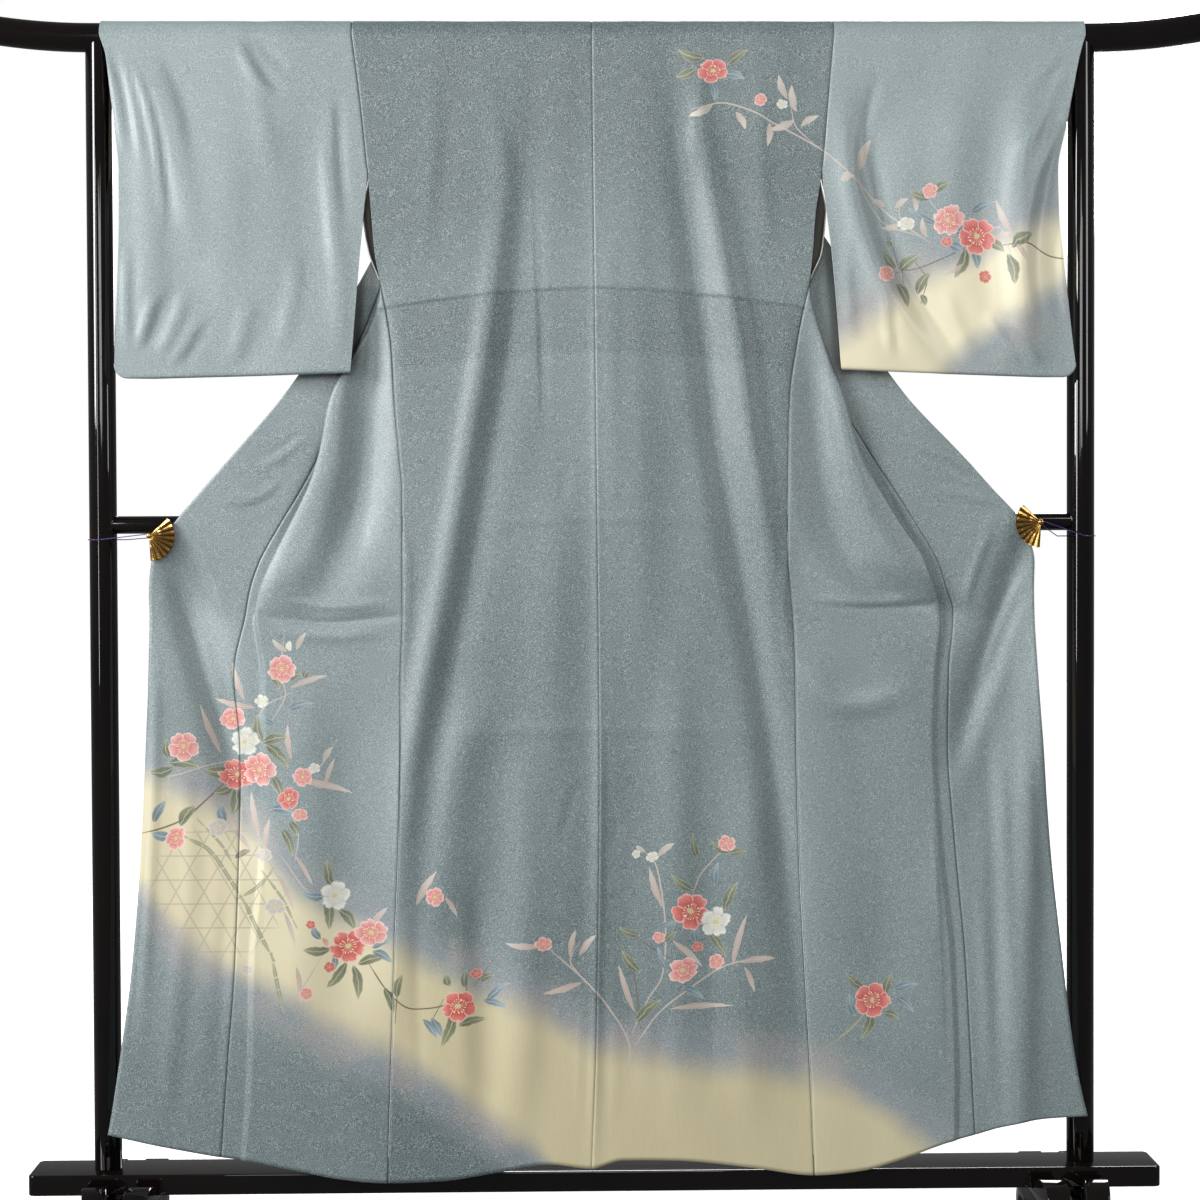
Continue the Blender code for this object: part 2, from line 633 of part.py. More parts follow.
# ------------------------------------------------------------------------------- the rack
def top_bar(surface):
    points = []
    for step in range(BAR_SWEEP, -1, -1):
        points.append(-BAR_STRAIGHT - (BAR_HALF - BAR_STRAIGHT) * step / BAR_SWEEP)
    points += [-x for x in reversed(points)]
    spots = []
    for x in points:
        past = max(0.0, abs(x) - BAR_STRAIGHT) / (BAR_HALF - BAR_STRAIGHT)
        spots.append((x, 0, BAR_HEIGHT + BAR_LIFT * past ** 2))
    for end, inner in ((0, 1), (-1, -2)):
        last = Vector(spots[end])
        tip = last + (last - Vector(spots[inner])).normalized() * TIP_ROUND
        spots.insert(0 if end == 0 else len(spots), (*tip, TIP_SHARE))
    return tube("top_bar", spots, BAR_RADIUS, surface, resolution=5)


def post(side, surface):
    foot = FOOT_HEIGHT + PLANK_THICK + SEAT_GAP
    x = side * POST_ACROSS
    made = cylinder(f"upright_{SIDE_NAMES[side]}", POST_RADIUS, (x, 0, foot), (x, 0, BAR_HEIGHT),
                    surface)
    cut(made, cylinder(f"saddle_{SIDE_NAMES[side]}", BAR_RADIUS + SEAT_GAP * 1.5,
                       (x - SADDLE_REACH, 0, BAR_HEIGHT), (x + SADDLE_REACH, 0, BAR_HEIGHT),
                       surface, 32))
    return made


def mid_rail(surface):
    made = cylinder("mid_rail", RAIL_RADIUS, (-POST_ACROSS, 0, RAIL_HEIGHT),
                    (POST_ACROSS, 0, RAIL_HEIGHT), surface)
    for side in (-1, 1):
        x = side * POST_ACROSS
        cut(made, cylinder(f"rail_seat_{SIDE_NAMES[side]}", POST_RADIUS + SEAT_GAP * 1.5,
                           (x, 0, RAIL_HEIGHT - SADDLE_REACH),
                           (x, 0, RAIL_HEIGHT + SADDLE_REACH), surface, 32))
    return made


def base_plank(surface):
    """A long board, its upright corners rounded and its edges softened."""
    body = bmesh.new()
    bmesh.ops.create_cube(body, size=1)
    bmesh.ops.scale(body, verts=body.verts, vec=(2 * PLANK_HALF, PLANK_DEPTH, PLANK_THICK))
    bmesh.ops.translate(body, verts=body.verts, vec=(0, 0, FOOT_HEIGHT + PLANK_THICK / 2))
    corners = [edge for edge in body.edges
               if abs(edge.verts[0].co.z - edge.verts[1].co.z) > PLANK_THICK / 2]
    bmesh.ops.bevel(body, geom=corners, offset=PLANK_CORNER, segments=4, profile=.5,
                    affect="EDGES")
    mesh = bpy.data.meshes.new("base_plank")
    body.to_mesh(mesh)
    body.free()
    made = add_object("base_plank", mesh, surface)
    soft = made.modifiers.new("edges", "BEVEL")
    soft.width = EDGE_SOFT
    soft.segments = 2
    soft.angle_limit = math.radians(60)
    return made


# Half of a foot's side view: distance from the plank's middle line, and height.
FOOT_TOP = ((.000, FOOT_HEIGHT - SEAT_GAP), (.050, FOOT_HEIGHT - SEAT_GAP), (.056, .084),
            (.066, .095), (.080, .100), (.096, .098), (.112, .088), (.126, .070), (.138, .048),
            (.150, .034), (.163, .028), (.173, .020), (FOOT_REACH, .010), (.173, .000))
FOOT_UNDER = ((.128, .000), (.118, .006), (.108, .020), (.094, .034), (.074, .043), (.000, .046))


def foot(side, inner, surface):
    """One carved foot board of a pair; each pair closes together at its toes."""
    half = FOOT_TOP + FOOT_UNDER
    outline = list(half) + [(-y, z) for y, z in half[-2:0:-1]]
    name = f"foot_{SIDE_NAMES[side]}_{'inner' if inner else 'outer'}"
    body = bmesh.new()
    rim = [body.verts.new((-FOOT_THICK / 2, y, z)) for y, z in outline]
    face = body.faces.new(rim)
    pushed = bmesh.ops.extrude_face_region(body, geom=[face])["geom"]
    bmesh.ops.translate(body, vec=(FOOT_THICK, 0, 0),
                        verts=[part for part in pushed if isinstance(part, bmesh.types.BMVert)])
    bmesh.ops.recalc_face_normals(body, faces=body.faces)
    away = -side if inner else side
    for vert in body.verts:
        closing = max(0.0, abs(vert.co.y) - PLANK_DEPTH / 2) / (FOOT_REACH - PLANK_DEPTH / 2)
        spread = FOOT_SPREAD + ((FOOT_THICK + TOE_GAP) / 2 - FOOT_SPREAD) * closing
        vert.co.x += side * FOOT_ACROSS + away * spread
    mesh = bpy.data.meshes.new(name)
    body.to_mesh(mesh)
    body.free()
    made = add_object(name, mesh, surface)
    soft = made.modifiers.new("edges", "BEVEL")
    soft.width = EDGE_SOFT
    soft.segments = 1
    soft.angle_limit = math.radians(60)
    return made


# ------------------------------------------------------------------------ clips and ties
CLIP_ACROSS = {-1: .612, 1: .619}
CLIP_HEIGHT = {-1: .990, 1: 1.004}
CLIP_DEPTH = -.0345
RIVET_RADIUS = 0.0016
RIVET_HEAD = 2.4            # head radius over the rivet's
HEAD_RISE = 0.0022          # the rivet head stands this far in front of the fan
HEAD_EDGE = 0.0016          # its full width reaches this far
JAW_BEND = 0.0020           # length of the rivet's bend into the jaw
JAW_DEPTH = -.0200
JAW_LENGTH = 0.032
FAN_START = math.radians(50)
FAN_END = math.radians(-85)


def clip(side, surface):
    """A pleated metal fan on the near side of the cloth."""
    rows = []
    for ring in range(4):
        reach = CLIP_HUB + (CLIP_RADIUS - CLIP_HUB) * ring / 3
        row = []
        for step in range(2 * CLIP_PLEATS + 1):
            angle = FAN_START + (FAN_END - FAN_START) * step / (2 * CLIP_PLEATS)
            ridge = (CLIP_RIDGE if step % 2 else -CLIP_RIDGE) * reach / CLIP_RADIUS
            row.append(Vector((side * (CLIP_ACROSS[side] - reach * math.cos(angle)),
                               CLIP_DEPTH + ridge, CLIP_HEIGHT[side] + reach * math.sin(angle))))
        rows.append(row)
    return sheet(f"clip_{SIDE_NAMES[side]}", rows, surface, CLIP_WALL)


def clip_jaw(side, surface):
    """The rivet through the fan's pivot, bent into the jaw behind the cloth."""
    x = side * CLIP_ACROSS[side]
    z = CLIP_HEIGHT[side]
    tilt = (FAN_START + FAN_END) / 2
    tip = (x - side * JAW_LENGTH * math.cos(tilt), z + JAW_LENGTH * math.sin(tilt))
    head = CLIP_DEPTH - CLIP_WALL / 2
    spots = [(x, head - HEAD_RISE, z, RIVET_HEAD * .7), (x, head - HEAD_EDGE, z, RIVET_HEAD),
             (x, head - SEAT_GAP, z, RIVET_HEAD), (x, head - SEAT_GAP / 3, z, 1),
             (x, JAW_DEPTH - JAW_BEND, z, 1), (x - side * JAW_BEND / 2, JAW_DEPTH, z, 1),
             (tip[0], JAW_DEPTH, tip[1], 1)]
    return tube(f"clip_{SIDE_NAMES[side]}_jaw", spots, RIVET_RADIUS, surface, resolution=3)


def tangent(spot, loop, way):
    """Direction from the post's axis to where a thread from a spot meets the loop round it."""
    across, depth = POST_ACROSS - spot[0], -spot[1]
    half = math.asin(loop / math.hypot(across, depth)) + math.pi / 2
    return math.atan2(depth, across) + way * half


def tie(side, surface):
    """A thread that runs round the clip's rivet and round the post, under the rail."""
    pivot_x = CLIP_ACROSS[side]
    pivot_z = CLIP_HEIGHT[side]
    depth = CLIP_DEPTH + TIE_BACK
    ring = RIVET_RADIUS + TIE_RADIUS + SEAT_GAP
    loop = POST_RADIUS + TIE_RADIUS + 2 * SEAT_GAP
    post_z = RAIL_HEIGHT - RAIL_RADIUS - TIE_BELOW
    points = []
    for step in range(7):
        turn = math.radians(90 + 180 * step / 6)
        points.append((pivot_x + ring * math.cos(turn), depth, pivot_z + ring * math.sin(turn)))
    bend = (POST_ACROSS - TIE_BEND, -TIE_BEND / 2)
    points.append((*bend, post_z))
    start = tangent(bend, loop, 1)
    end = tangent((pivot_x, depth), loop, -1)
    for step in range(17):
        turn = start + (end - start) * step / 16
        points.append((POST_ACROSS + loop * math.cos(turn), loop * math.sin(turn), post_z))
    return tube(f"tie_{SIDE_NAMES[side]}", [(side * x, y, z) for x, y, z in points],
                TIE_RADIUS, surface, resolution=1, cyclic=True)


def main():
    silk = material("silk", (.26, .36, .38), .55)
    lacquer = material("lacquer", (.012, .008, .008), .08)
    gold = material("gold", (.80, .58, .22), .25, 1.0)
    thread = material("thread", (.16, .07, .30), .70)
    base_plank(lacquer)
    top_bar(lacquer)
    mid_rail(lacquer)
    for side in (-1, 1):
        post(side, lacquer)
        foot(side, False, lacquer)
        foot(side, True, lacquer)
        body_panel(side, silk)
        gore(side, silk)
        sleeve(side, silk)
        clip(side, gold)
        clip_jaw(side, gold)
        tie(side, thread)
    lift = (WALL + COLLAR_WALL) / 2 + COLLAR_CLEAR
    collar_band("collar", COLLAR_END, 0.0, lift, COLLAR_WALL, silk)
    lift += (COLLAR_WALL + OVER_COLLAR_WALL) / 2 + OVER_COLLAR_CLEAR
    collar_band("over_collar", OVER_COLLAR_END, OVER_COLLAR_INSET, lift, OVER_COLLAR_WALL, silk)


for old in list(bpy.data.objects):
    bpy.data.objects.remove(old)
PARTS = bpy.data.collections.new("kimono_on_rack")
CUTTERS = bpy.data.collections.new("cutters")
bpy.context.scene.collection.children.link(PARTS)
bpy.context.scene.collection.children.link(CUTTERS)
main()
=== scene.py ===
import math
from collections import namedtuple

import bpy
import numpy as np
from mathutils import Matrix, Vector


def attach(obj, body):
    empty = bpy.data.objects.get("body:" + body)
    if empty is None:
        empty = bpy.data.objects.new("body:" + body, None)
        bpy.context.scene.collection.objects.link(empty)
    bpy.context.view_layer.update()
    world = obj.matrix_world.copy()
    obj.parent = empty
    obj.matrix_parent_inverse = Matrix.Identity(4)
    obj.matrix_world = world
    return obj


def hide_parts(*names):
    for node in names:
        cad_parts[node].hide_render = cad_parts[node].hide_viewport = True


# The looks of a lined silk visiting kimono, spread with its back to the viewer on a lacquered
# rack.  Metres, +Z up.  +X is to the right of someone who faces the kimono's back.
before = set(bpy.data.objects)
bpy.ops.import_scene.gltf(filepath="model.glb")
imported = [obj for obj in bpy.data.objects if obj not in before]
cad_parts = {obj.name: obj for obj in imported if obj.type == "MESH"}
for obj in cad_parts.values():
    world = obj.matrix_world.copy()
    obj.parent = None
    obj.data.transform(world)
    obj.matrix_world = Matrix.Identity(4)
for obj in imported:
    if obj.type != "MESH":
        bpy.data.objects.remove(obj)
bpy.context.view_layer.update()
bpy.ops.object.select_all(action="DESELECT")

SIDE_NAMES = {-1: "left", 1: "right"}

# ---- sizes: the rack
BAR_RADIUS = 0.020
BAR_HEIGHT = 1.678  # axis of the top bar
BAR_STRAIGHT = 0.690  # half length before the ends sweep up
BAR_HALF = 0.9091  # half length to the tips
BAR_LIFT = 0.027  # rise of each tip
BAR_SWEEP = 16  # lengths that make up each sweep
BAR_INSET = 0.3  # share of its radius
POST_RADIUS = 0.019
POST_ACROSS = 0.6806
RAIL_RADIUS = 0.01225
RAIL_HEIGHT = 1.005
PLANK_HALF = 0.7844
PLANK_DEPTH = 0.0934
PLANK_THICK = 0.0285
PLANK_CORNER = 0.009
FOOT_HEIGHT = 0.080
FOOT_ACROSS = 0.656
FOOT_SPREAD = 0.036
FOOT_THICK = 0.034
FOOT_REACH = 0.176
FOOT_SOFT = 0.0022  # rounding of its edges
TOE_GAP = 0.002
SEAT_GAP = 0.0003  # between pieces that touch
SEAT_CUT = 0.050  # how far a bar that cuts a seat reaches past it

# ---- sizes: the cloth
WALL = 0.0016  # outer silk and lining
HANG_RADIUS = 0.0217  # middle of the cloth wall over the bar
LEAN = 0.0256  # how far the back hangs forward for each metre down
OVER_RELIEF = 2.4  # the folds die out by this angle round the bar
FRONT_WIDTH = 0.2345  # cut width of a front between its seams
NECK_HALF = 0.092
NECK_ANGLE = math.radians(154)  # round the bar, where the neck opening starts
LAYER = 0.0075  # between the layers of the big front pleat
FULL_OVERLAP = 0.020  # a pleat this deep has its layers fully apart
GAP_GROW = 0.030
PLEAT_LEVEL = 1.000  # below this the layers stay apart down to the next two
PLEAT_SHUT = 0.760
PLEAT_GROW = 0.180
STEP = 0.0040  # between layers that lie closed
STEP_TOP = 0.870  # the pleat's slack ends here
STEP_GROW = 0.030
FOLD_ROUND = 0.006  # rounding of the pleat's bends
BEND_COLUMNS = 0.85  # and how much of it the mesh columns beside a bend take
FOLDS_START = 1.670  # the fronts lie folded below this
FOLDS_GROW = 0.080
FOLDS_GATHER = 0.020
SLIT_TOP = 1.490  # end of the sleeve seam, top of the open slit and of the gore
SLIT_END = 1.335  # bottom of the slit, top of the side seam
SEAM_FADE = 0.008  # a seam ends over this height
SIDE_TURN = 0.050
HEM_LEVEL = 0.100
HEM_REACH = 0.300
COLLAR_WALL = 0.0024
COLLAR_WIDTH = 0.052
COLLAR_END = 0.985
COLLAR_TURN = 1.550  # over this the collar's seam turns in the other way
COLLAR_GROW = 0.100
OVER_COLLAR_END = 1.330
OVER_COLLAR_WALL = 0.0012
OVER_COLLAR_INSET = 0.0006
COLLAR_CLEAR = 0.0009
OVER_COLLAR_CLEAR = 0.0008
COLLAR_FLARE = 0.0026

SLEEVE_BOTTOM = 1.210
SLEEVE_CORNER = 0.018
FAR_INSET = 0.006
SLEEVE_FORWARD = 0.0110
CUFF_END = 1.450
CUFF_PINCH = 0.0026
CUFF_GROW = 0.050
CUFF_SHARE = 0.20
SLEEVE_FOLD = 0.0060
FOLD_CLOSE = 0.060
SAG_REACH = 0.120
FORWARD_TOP = 1.420
FORWARD_DROP = 0.140
FORWARD_ACROSS = (0.380, 0.500)

GROOVE = 0.0011  # how far a panel's edge turns in at a seam
GROOVE_REACH = 0.0015
CENTRE_PALE = .6  # the centre seam's painted shade is this much less dark than the others'
LEDGE = 0.0011  # the waist tuck stands this far over the cloth below it
LEDGE_EDGE = 0.0016
LEDGE_FADE = 0.026

# ---- how light the silk is painted, in places
# Most of this is painted light and shade: the fronts, gores and sleeves lighter where light and
# sheen fall, the shoulders, the upper back, the back's sides and the skirt toward the hem darker
# where shade falls.  Tone 0 is the back's silk, 1 is lighter and -1 darker.  Pairs are a place and
# the length over which the change grows from there.
# painted light: the fronts, sleeves and gores are lighter where light and sheen fall on them
FRONT_PAINTED_LIGHT = .50
SLEEVE_PAINTED_LIGHT = {-1: 1.0, 1: 1.1}
GORE_PAINTED_LIGHT = {-1: .34, 1: .52}
HEM_PAINTED_SHADE = {-1: .70, 1: .42}  # how much darker the whole skirt gets toward the hem, as painted shade
HEM_DARK = (.42, .22)
TUCK_TONE = .45  # the strip below the waist tuck is darker
TUCK_DEPTH = .088
TUCK_EDGES = (.003, .006)
LOW_TONE = .16  # so is the cloth under the inner hem's seam
LOW_DARK = (.717, .005)
TOP_PAINTED_SHADE = .95  # and the shoulders, as painted shade
TOP_DARK = (1.34, .24)
SIDE_DARK = {-1: (.05, .11), 1: (.11, .11)}  # and each back toward its side, as painted shade
SIDE_PAINTED_SHADE = .5
SIDE_LEVEL = (.62, .20)
# the upper back is painted darker, as shade
UPPER_PAINTED_SHADE = .25
UPPER_LEVEL = (1.02, .16)
DIM_TOP = (1.60, .15)
HEM_FACING = 0.640  # the coloured facing inside the skirt ends here
SLIT_SHADE = (1.338, 1.500)  # heights between which the open slit is dark inside
SLIT_SHADE_FADE = .012
SLIT_SHADE_RIM = (-.035, .015)  # from the back's edge
SHADE_REACH = 0.016  # the sleeve's shade on the cloth beside it
SHADE_FOOT = (1.185, .05)
SHADE_TOP = (1.43, .03)


def by_side(kind, rows):
    """Tables of the left and the right side, from rows of a height and both sides' values."""
    return {side: [kind(height, *both[side > 0]) for height, *both in rows]
            for side in (-1, 1)}


# Distances from the centre seam, by height.  side: the back's edge.  bow: how much further
# the front's slit edge reaches.  flap: from the side seam to the visible fold of the front.
# seam: the gore seam (above the gore, the collar seam).  edge: the outermost edge.
Width = namedtuple("Width", "height side bow flap seam edge")
WIDTHS = by_side(Width, (
    (1.678, (.331, 0, 0, .092, .092), (.334, 0, 0, .092, .092)),
    (1.600, (.321, 0, 0, .150, .150), (.327, 0, 0, .151, .151)),
    (1.490, (.310, 0, 0, .232, .236), (.317, 0, 0, .235, .240)),
    (1.430, (.305, .012, 0, .254, .268), (.308, .015, 0, .257, .299)),
    (1.380, (.301, .008, 0, .275, .300), (.304, .013, 0, .274, .335)),
    (1.335, (.293, 0, 0, .292, .325), (.299, 0, 0, .288, .350)),
    (1.300, (.286, 0, .014, .306, .346), (.291, 0, .013, .299, .363)),
    (1.250, (.279, 0, .045, .326, .380), (.281, 0, .039, .315, .386)),
    (1.180, (.275, 0, .087, .351, .430), (.271, 0, .074, .338, .434)),
    (1.100, (.268, 0, .111, .380, .499), (.269, 0, .100, .384, .509)),
    (1.050, (.264, 0, .132, .406, .543), (.268, 0, .127, .417, .554)),
    (1.000, (.264, 0, .157, .436, .584), (.267, 0, .158, .448, .596)),
    (0.950, (.264, 0, .182, .463, .611), (.267, 0, .190, .476, .612)),
    (0.910, (.264, 0, .198, .476, .614), (.271, 0, .200, .489, .611)),
    (0.880, (.264, 0, .203, .481, .613), (.274, 0, .205, .498, .611)),
    (0.800, (.267, 0, .190, .497, .614), (.277, 0, .196, .490, .613)),
    (0.700, (.268, 0, .189, .490, .618), (.278, 0, .191, .488, .619)),
    (0.560, (.271, 0, .188, .491, .625), (.281, 0, .196, .497, .629)),
    (0.400, (.278, 0, .196, .497, .638), (.288, 0, .205, .511, .646)),
    (0.250, (.283, 0, .194, .508, .656), (.295, 0, .203, .518, .662)),
    (0.100, (.288, 0, .199, .517, .672), (.300, 0, .197, .523, .680)),
))
CENTRE_LINE = ((0.10, -.007), (0.30, .000), (0.70, .006), (1.20, .003), (1.678, .000))
HEM_LINE = ((-.672, .167), (-.593, .149), (-.517, .135), (-.486, .131), (-.408, .115),
            (-.354, .104), (-.288, .098), (-.216, .100), (-.134, .112), (-.065, .122),
            (-.008, .116), (.036, .127), (.109, .126), (.215, .115), (.300, .104),
            (.363, .109), (.427, .127), (.480, .146), (.525, .158), (.560, .168),
            (.607, .178), (.680, .182))
NECK_LINE = ((.1110, 1.6560), (.0880, 1.6725), (.0590, 1.6805), (.0300, 1.6830))
NECK_TOP = (.0000, 1.6830)
TUCK_LINE = ((-.36, 1.270), (-.285, 1.303), (0, 1.329), (.285, 1.302), (.36, 1.270))
Sleeve = namedtuple("Sleeve", "height inner outer far")
SLEEVES = by_side(Sleeve, (
    (1.678, (.3310, .677, .657), (.3343, .683, .657)),
    (1.650, (.3275, .668, .655), (.3318, .675, .655)),
    (1.600, (.3210, .662, .653), (.3273, .665, .653)),
    (1.550, (.3158, .656, .651), (.3222, .655, .651)),
    (1.490, (.3100, .651, .649), (.3173, .644, .643)),
    (1.430, (.3150, .651, .651), (.3230, .645, .645)),
    (1.380, (.3200, .652, .652), (.3290, .649, .649)),
    (1.300, (.3260, .655, .655), (.3350, .658, .658)),
    (1.210, (.3330, .658, .658), (.3405, .667, .667)),
))
SLEEVE_SAG = {-1: (1.216, 1.208), 1: (1.219, 1.206)}

# Soft ridges (+) and troughs (-): across and height of the top, middle and low end, half
# the width, and how far the cloth stands forward.
Fold = namedtuple("Fold", "top_x top_z mid_x mid_z low_x low_z half rise")
FOLDS = [Fold(*row) for row in (
    (-.150, 0.800, -.195, 0.640, -.230, 0.380, .034, .0065),
    (-.055, 1.150, -.062, 0.800, -.040, 0.300, .034, .0045),
    (.060, 1.600, .050, 1.200, .070, 0.700, .036, .0050),
    (-.578, 1.010, -.530, 0.800, -.462, 0.500, .030, -.0160),
    (-.105, 0.780, -.095, 0.450, -.105, 0.120, .026, .0060),
    (-.170, 0.560, -.150, 0.330, -.150, 0.120, .024, -.0060),
    (.105, 0.900, .115, 0.500, .110, 0.120, .028, .0055),
    (.215, 0.700, .205, 0.400, .215, 0.130, .028, .0065),
    (-.420, 0.850, -.400, 0.640, -.420, 0.260, .034, .0055),
    (.380, 0.850, .385, 0.600, .400, 0.240, .036, -.0055),
    (-.330, 0.840, -.335, 0.620, -.345, 0.240, .030, -.0050),
)]
SLEEVE_FOLDS = [Fold(*row) for row in (
    (-.480, 1.676, -.462, 1.600, -.440, 1.480, .014, .0026),
    (-.625, 1.660, -.585, 1.560, -.540, 1.360, .022, .0060),
    (-.400, 1.620, -.392, 1.400, -.400, 1.225, .030, -.0034),
    (-.500, 1.560, -.505, 1.400, -.480, 1.225, .034, .0050),
    (.425, 1.640, .400, 1.480, .480, 1.240, .030, -.0040),
    (.616, 1.640, .586, 1.400, .608, 1.180, .027, .0180),
    (.510, 1.640, .500, 1.440, .540, 1.240, .034, .0050),
)]
Belly = namedtuple("Belly", "x z half_x half_z rise")
BELLIES = [Belly(*row) for row in (
    (-.375, .935, .080, .050, .0080),
    (.385, .930, .080, .050, .0070),
    (-.600, .985, .055, .060, .0050),
    (.606, .998, .055, .060, .0050),
)]

# Fine creases: half the width, the rise, and how deep a trough lies along its left (+) or
# right hand (-), as a share of the rise; then the path, across and height in turn.  All in
# millimetres.
Crease = namedtuple("Crease", "half rise trough path")
WIDE_CREASES = [Crease(*row[:3], row[3:]) for row in (
    (19, 9.0, .4, -96, 1740, -112, 1600, -127, 1440, -145, 1276, -179, 1079, -201, 948, -228, 817,
     -252, 690, -266, 560, -272, 380, -274, 200),
    (20, -11.0, 0, 98, 1740, 112, 1600, 126, 1456, 140, 1358, 154, 1259, 171, 1112, 195, 981, 220,
     850, 240, 719, 258, 588, 272, 457, 282, 300, 288, 120),
    (17, 9.5, 0, 138, 1700, 150, 1560, 168, 1440, 188, 1330, 202, 1259, 219, 1112, 241, 981, 256,
     880, 270, 760),
    (28, -16.0, 0, -296, 1420, -304, 1280, -309, 1160, -314, 1079, -334, 990, -362, 930, -410, 880,
     -470, 850),
    (24, -13.0, 0, 296, 1340, 302, 1200, 314, 1079, 338, 985, 376, 924, 436, 890, 520, 874, 600,
     880),
    (23, -12.0, 0, 646, 1060, 586, 950, 560, 880, 534, 810, 510, 740, 480, 610),
    (30, -6.0, 0, 655, 1040, 612, 900, 574, 780, 540, 650, 520, 520),
    (22, 11.0, 0, 622, 1060, 617, 752, 604, 640, 596, 500, 588, 342, 582, -60),
)]
NEAR_CREASES = [Crease(*row[:3], row[3:]) for row in (
    (10, 3.4, 0, -318, 1290, -346, 1180, -356, 1090, -385, 1000, -410, 948, -470, 890),
    (13, 8.0, 0, 306, 1300, 334, 1180, 355, 1096, 388, 997, 434, 935, 500, 880),
    (5, -2.6, 0, -79, 1540, -76, 1420, -71, 1280, -67, 1100),
    (6, -1.0, 0, -45, 1110, -40, 1070, -46, 1020), (5, -1.2, -.5, -22, 655, -40, 600, -48, 560),
    (5, -1.0, .4, 22, 625, 30, 585, 26, 550),
    (6, 1.9, 0, 0, 1790, 1, 1500, 3, 1200, 4, 900, 6, 600, 0, 300, -6, 0),
    (16, 2.0, 0, 13, 1790, 14, 1500, 16, 1200, 17, 900, 19, 600, 13, 300, 7, 0),
    (9, 2.6, .2, 4, 860, 3, 600, -2, 400, -6, 200, -7, 0),
    (12, 1.0, .3, 30, 1500, 24, 1250, 34, 900), (6, 1.5, -.5, -330, 1100, -368, 1000, -420, 930),
    (5, 1.2, .4, -300, 1240, -318, 1160, -330, 1080),
    (4, -3.0, 0, -240, 880, -300, 876, -366, 869, -430, 877, -480, 892),
    (9, 2.0, 0, -275, 862, -360, 850, -450, 864),
    (7, 3.0, 0, -275, 900, -330, 892, -390, 894, -440, 910),
    (5, 1.2, .4, 372, 1110, 420, 1010, 470, 940),
    (4, -3.2, 0, 300, 896, 350, 889, 400, 886, 450, 889, 505, 902),
    (14, 4.4, 0, 262, 860, 290, 795, 335, 754, 395, 758, 455, 800),
    (7, 3.0, 0, 300, 904, 360, 893, 420, 897, 470, 910),
    (9, 2.4, .6, 302, 850, 310, 780, 330, 730), (12, 1.8, .5, -405, 850, -395, 760, -410, 640),
    (10, -1.2, 0, -350, 840, -345, 730, -360, 590), (12, 1.4, -.4, 395, 835, 385, 700, 392, 520),
    (5, 0.9, .5, -444, 560, -450, 400, -455, 200), (6, 2.0, 0, 466, 640, 472, 440, 478, 210),
    (5, -1.2, 0, -430, 520, -436, 380, -432, 180),
    (12, 1.8, .4, -140, 1640, -136, 1560, -120, 1470),
    (12, 1.4, .3, -215, 1650, -222, 1500, -240, 1330),
    (12, 1.8, -.4, 150, 1640, 146, 1560, 136, 1480),
    (13, 1.4, -.3, 235, 1650, 232, 1500, 246, 1340), (9, -1.4, 0, -235, 560, -246, 420, -240, 180),
    (14, 1.4, .3, -170, 600, -186, 400, -180, 160), (5, 1.4, .6, -12, 420, -22, 280, -24, 150),
    (6, 1.2, -.5, 14, 430, 26, 300, 22, 150), (12, 1.2, .3, 60, 520, 72, 360, 66, 170),
    (13, 1.4, -.3, 205, 700, 232, 480, 238, 200), (10, -1.0, 0, 140, 560, 160, 380, 158, 180),
    (6, 1.2, -.4, 268, 1010, 262, 900, 272, 780), (6, 1.2, .4, -262, 1030, -256, 920, -266, 800),
    (5, 0.8, 0, -270, 1000, 0, 1012, 265, 1004), (5, 0.8, 0, -260, 716, 10, 722, 270, 712),
)]
DEEP_CREASES = [Crease(*row[:3], row[3:]) for row in (
    (13, -4.4, .5, -600, 990, -572, 900, -540, 800, -500, 690, -470, 600),
    (7, 2.7, -.5, -600, 900, -604, 740, -612, 520, -630, 240),
    (7, 2.4, -.5, -560, 1000, -530, 940, -505, 860),
    (12, 2.0, .4, -585, 740, -560, 600, -560, 420), (9, -1.7, 0, -505, 560, -515, 380, -530, 160),
    (12, 1.9, .4, -560, 520, -580, 340, -600, 150),
    (13, -4.4, -.5, 604, 985, 578, 900, 545, 800, 510, 690, 494, 640),
    (7, 3.1, .5, 602, 945, 560, 850, 528, 760), (6, 2.0, .5, 560, 1010, 535, 960, 510, 880),
    (9, 3.1, -.6, 560, 760, 566, 560, 575, 220), (8, -2.0, 0, 610, 880, 606, 700, 622, 420),
    (8, 1.7, -.4, 530, 520, 540, 360, 548, 170),
    (10, -3.4, 0, -338, 1200, -376, 1090, -428, 980, -470, 912),
    (10, -3.4, 0, 334, 1210, 384, 1090, 440, 980, 482, 915),
    (5, 1.7, .5, -470, 1080, -430, 1100, -390, 1130),
    (5, 1.5, -.4, -520, 1040, -470, 1040, -425, 1070),
    (5, 1.7, -.5, 590, 1030, 520, 1040, 455, 1060), (5, 1.5, .4, 560, 1060, 500, 1090, 430, 1120),
)]
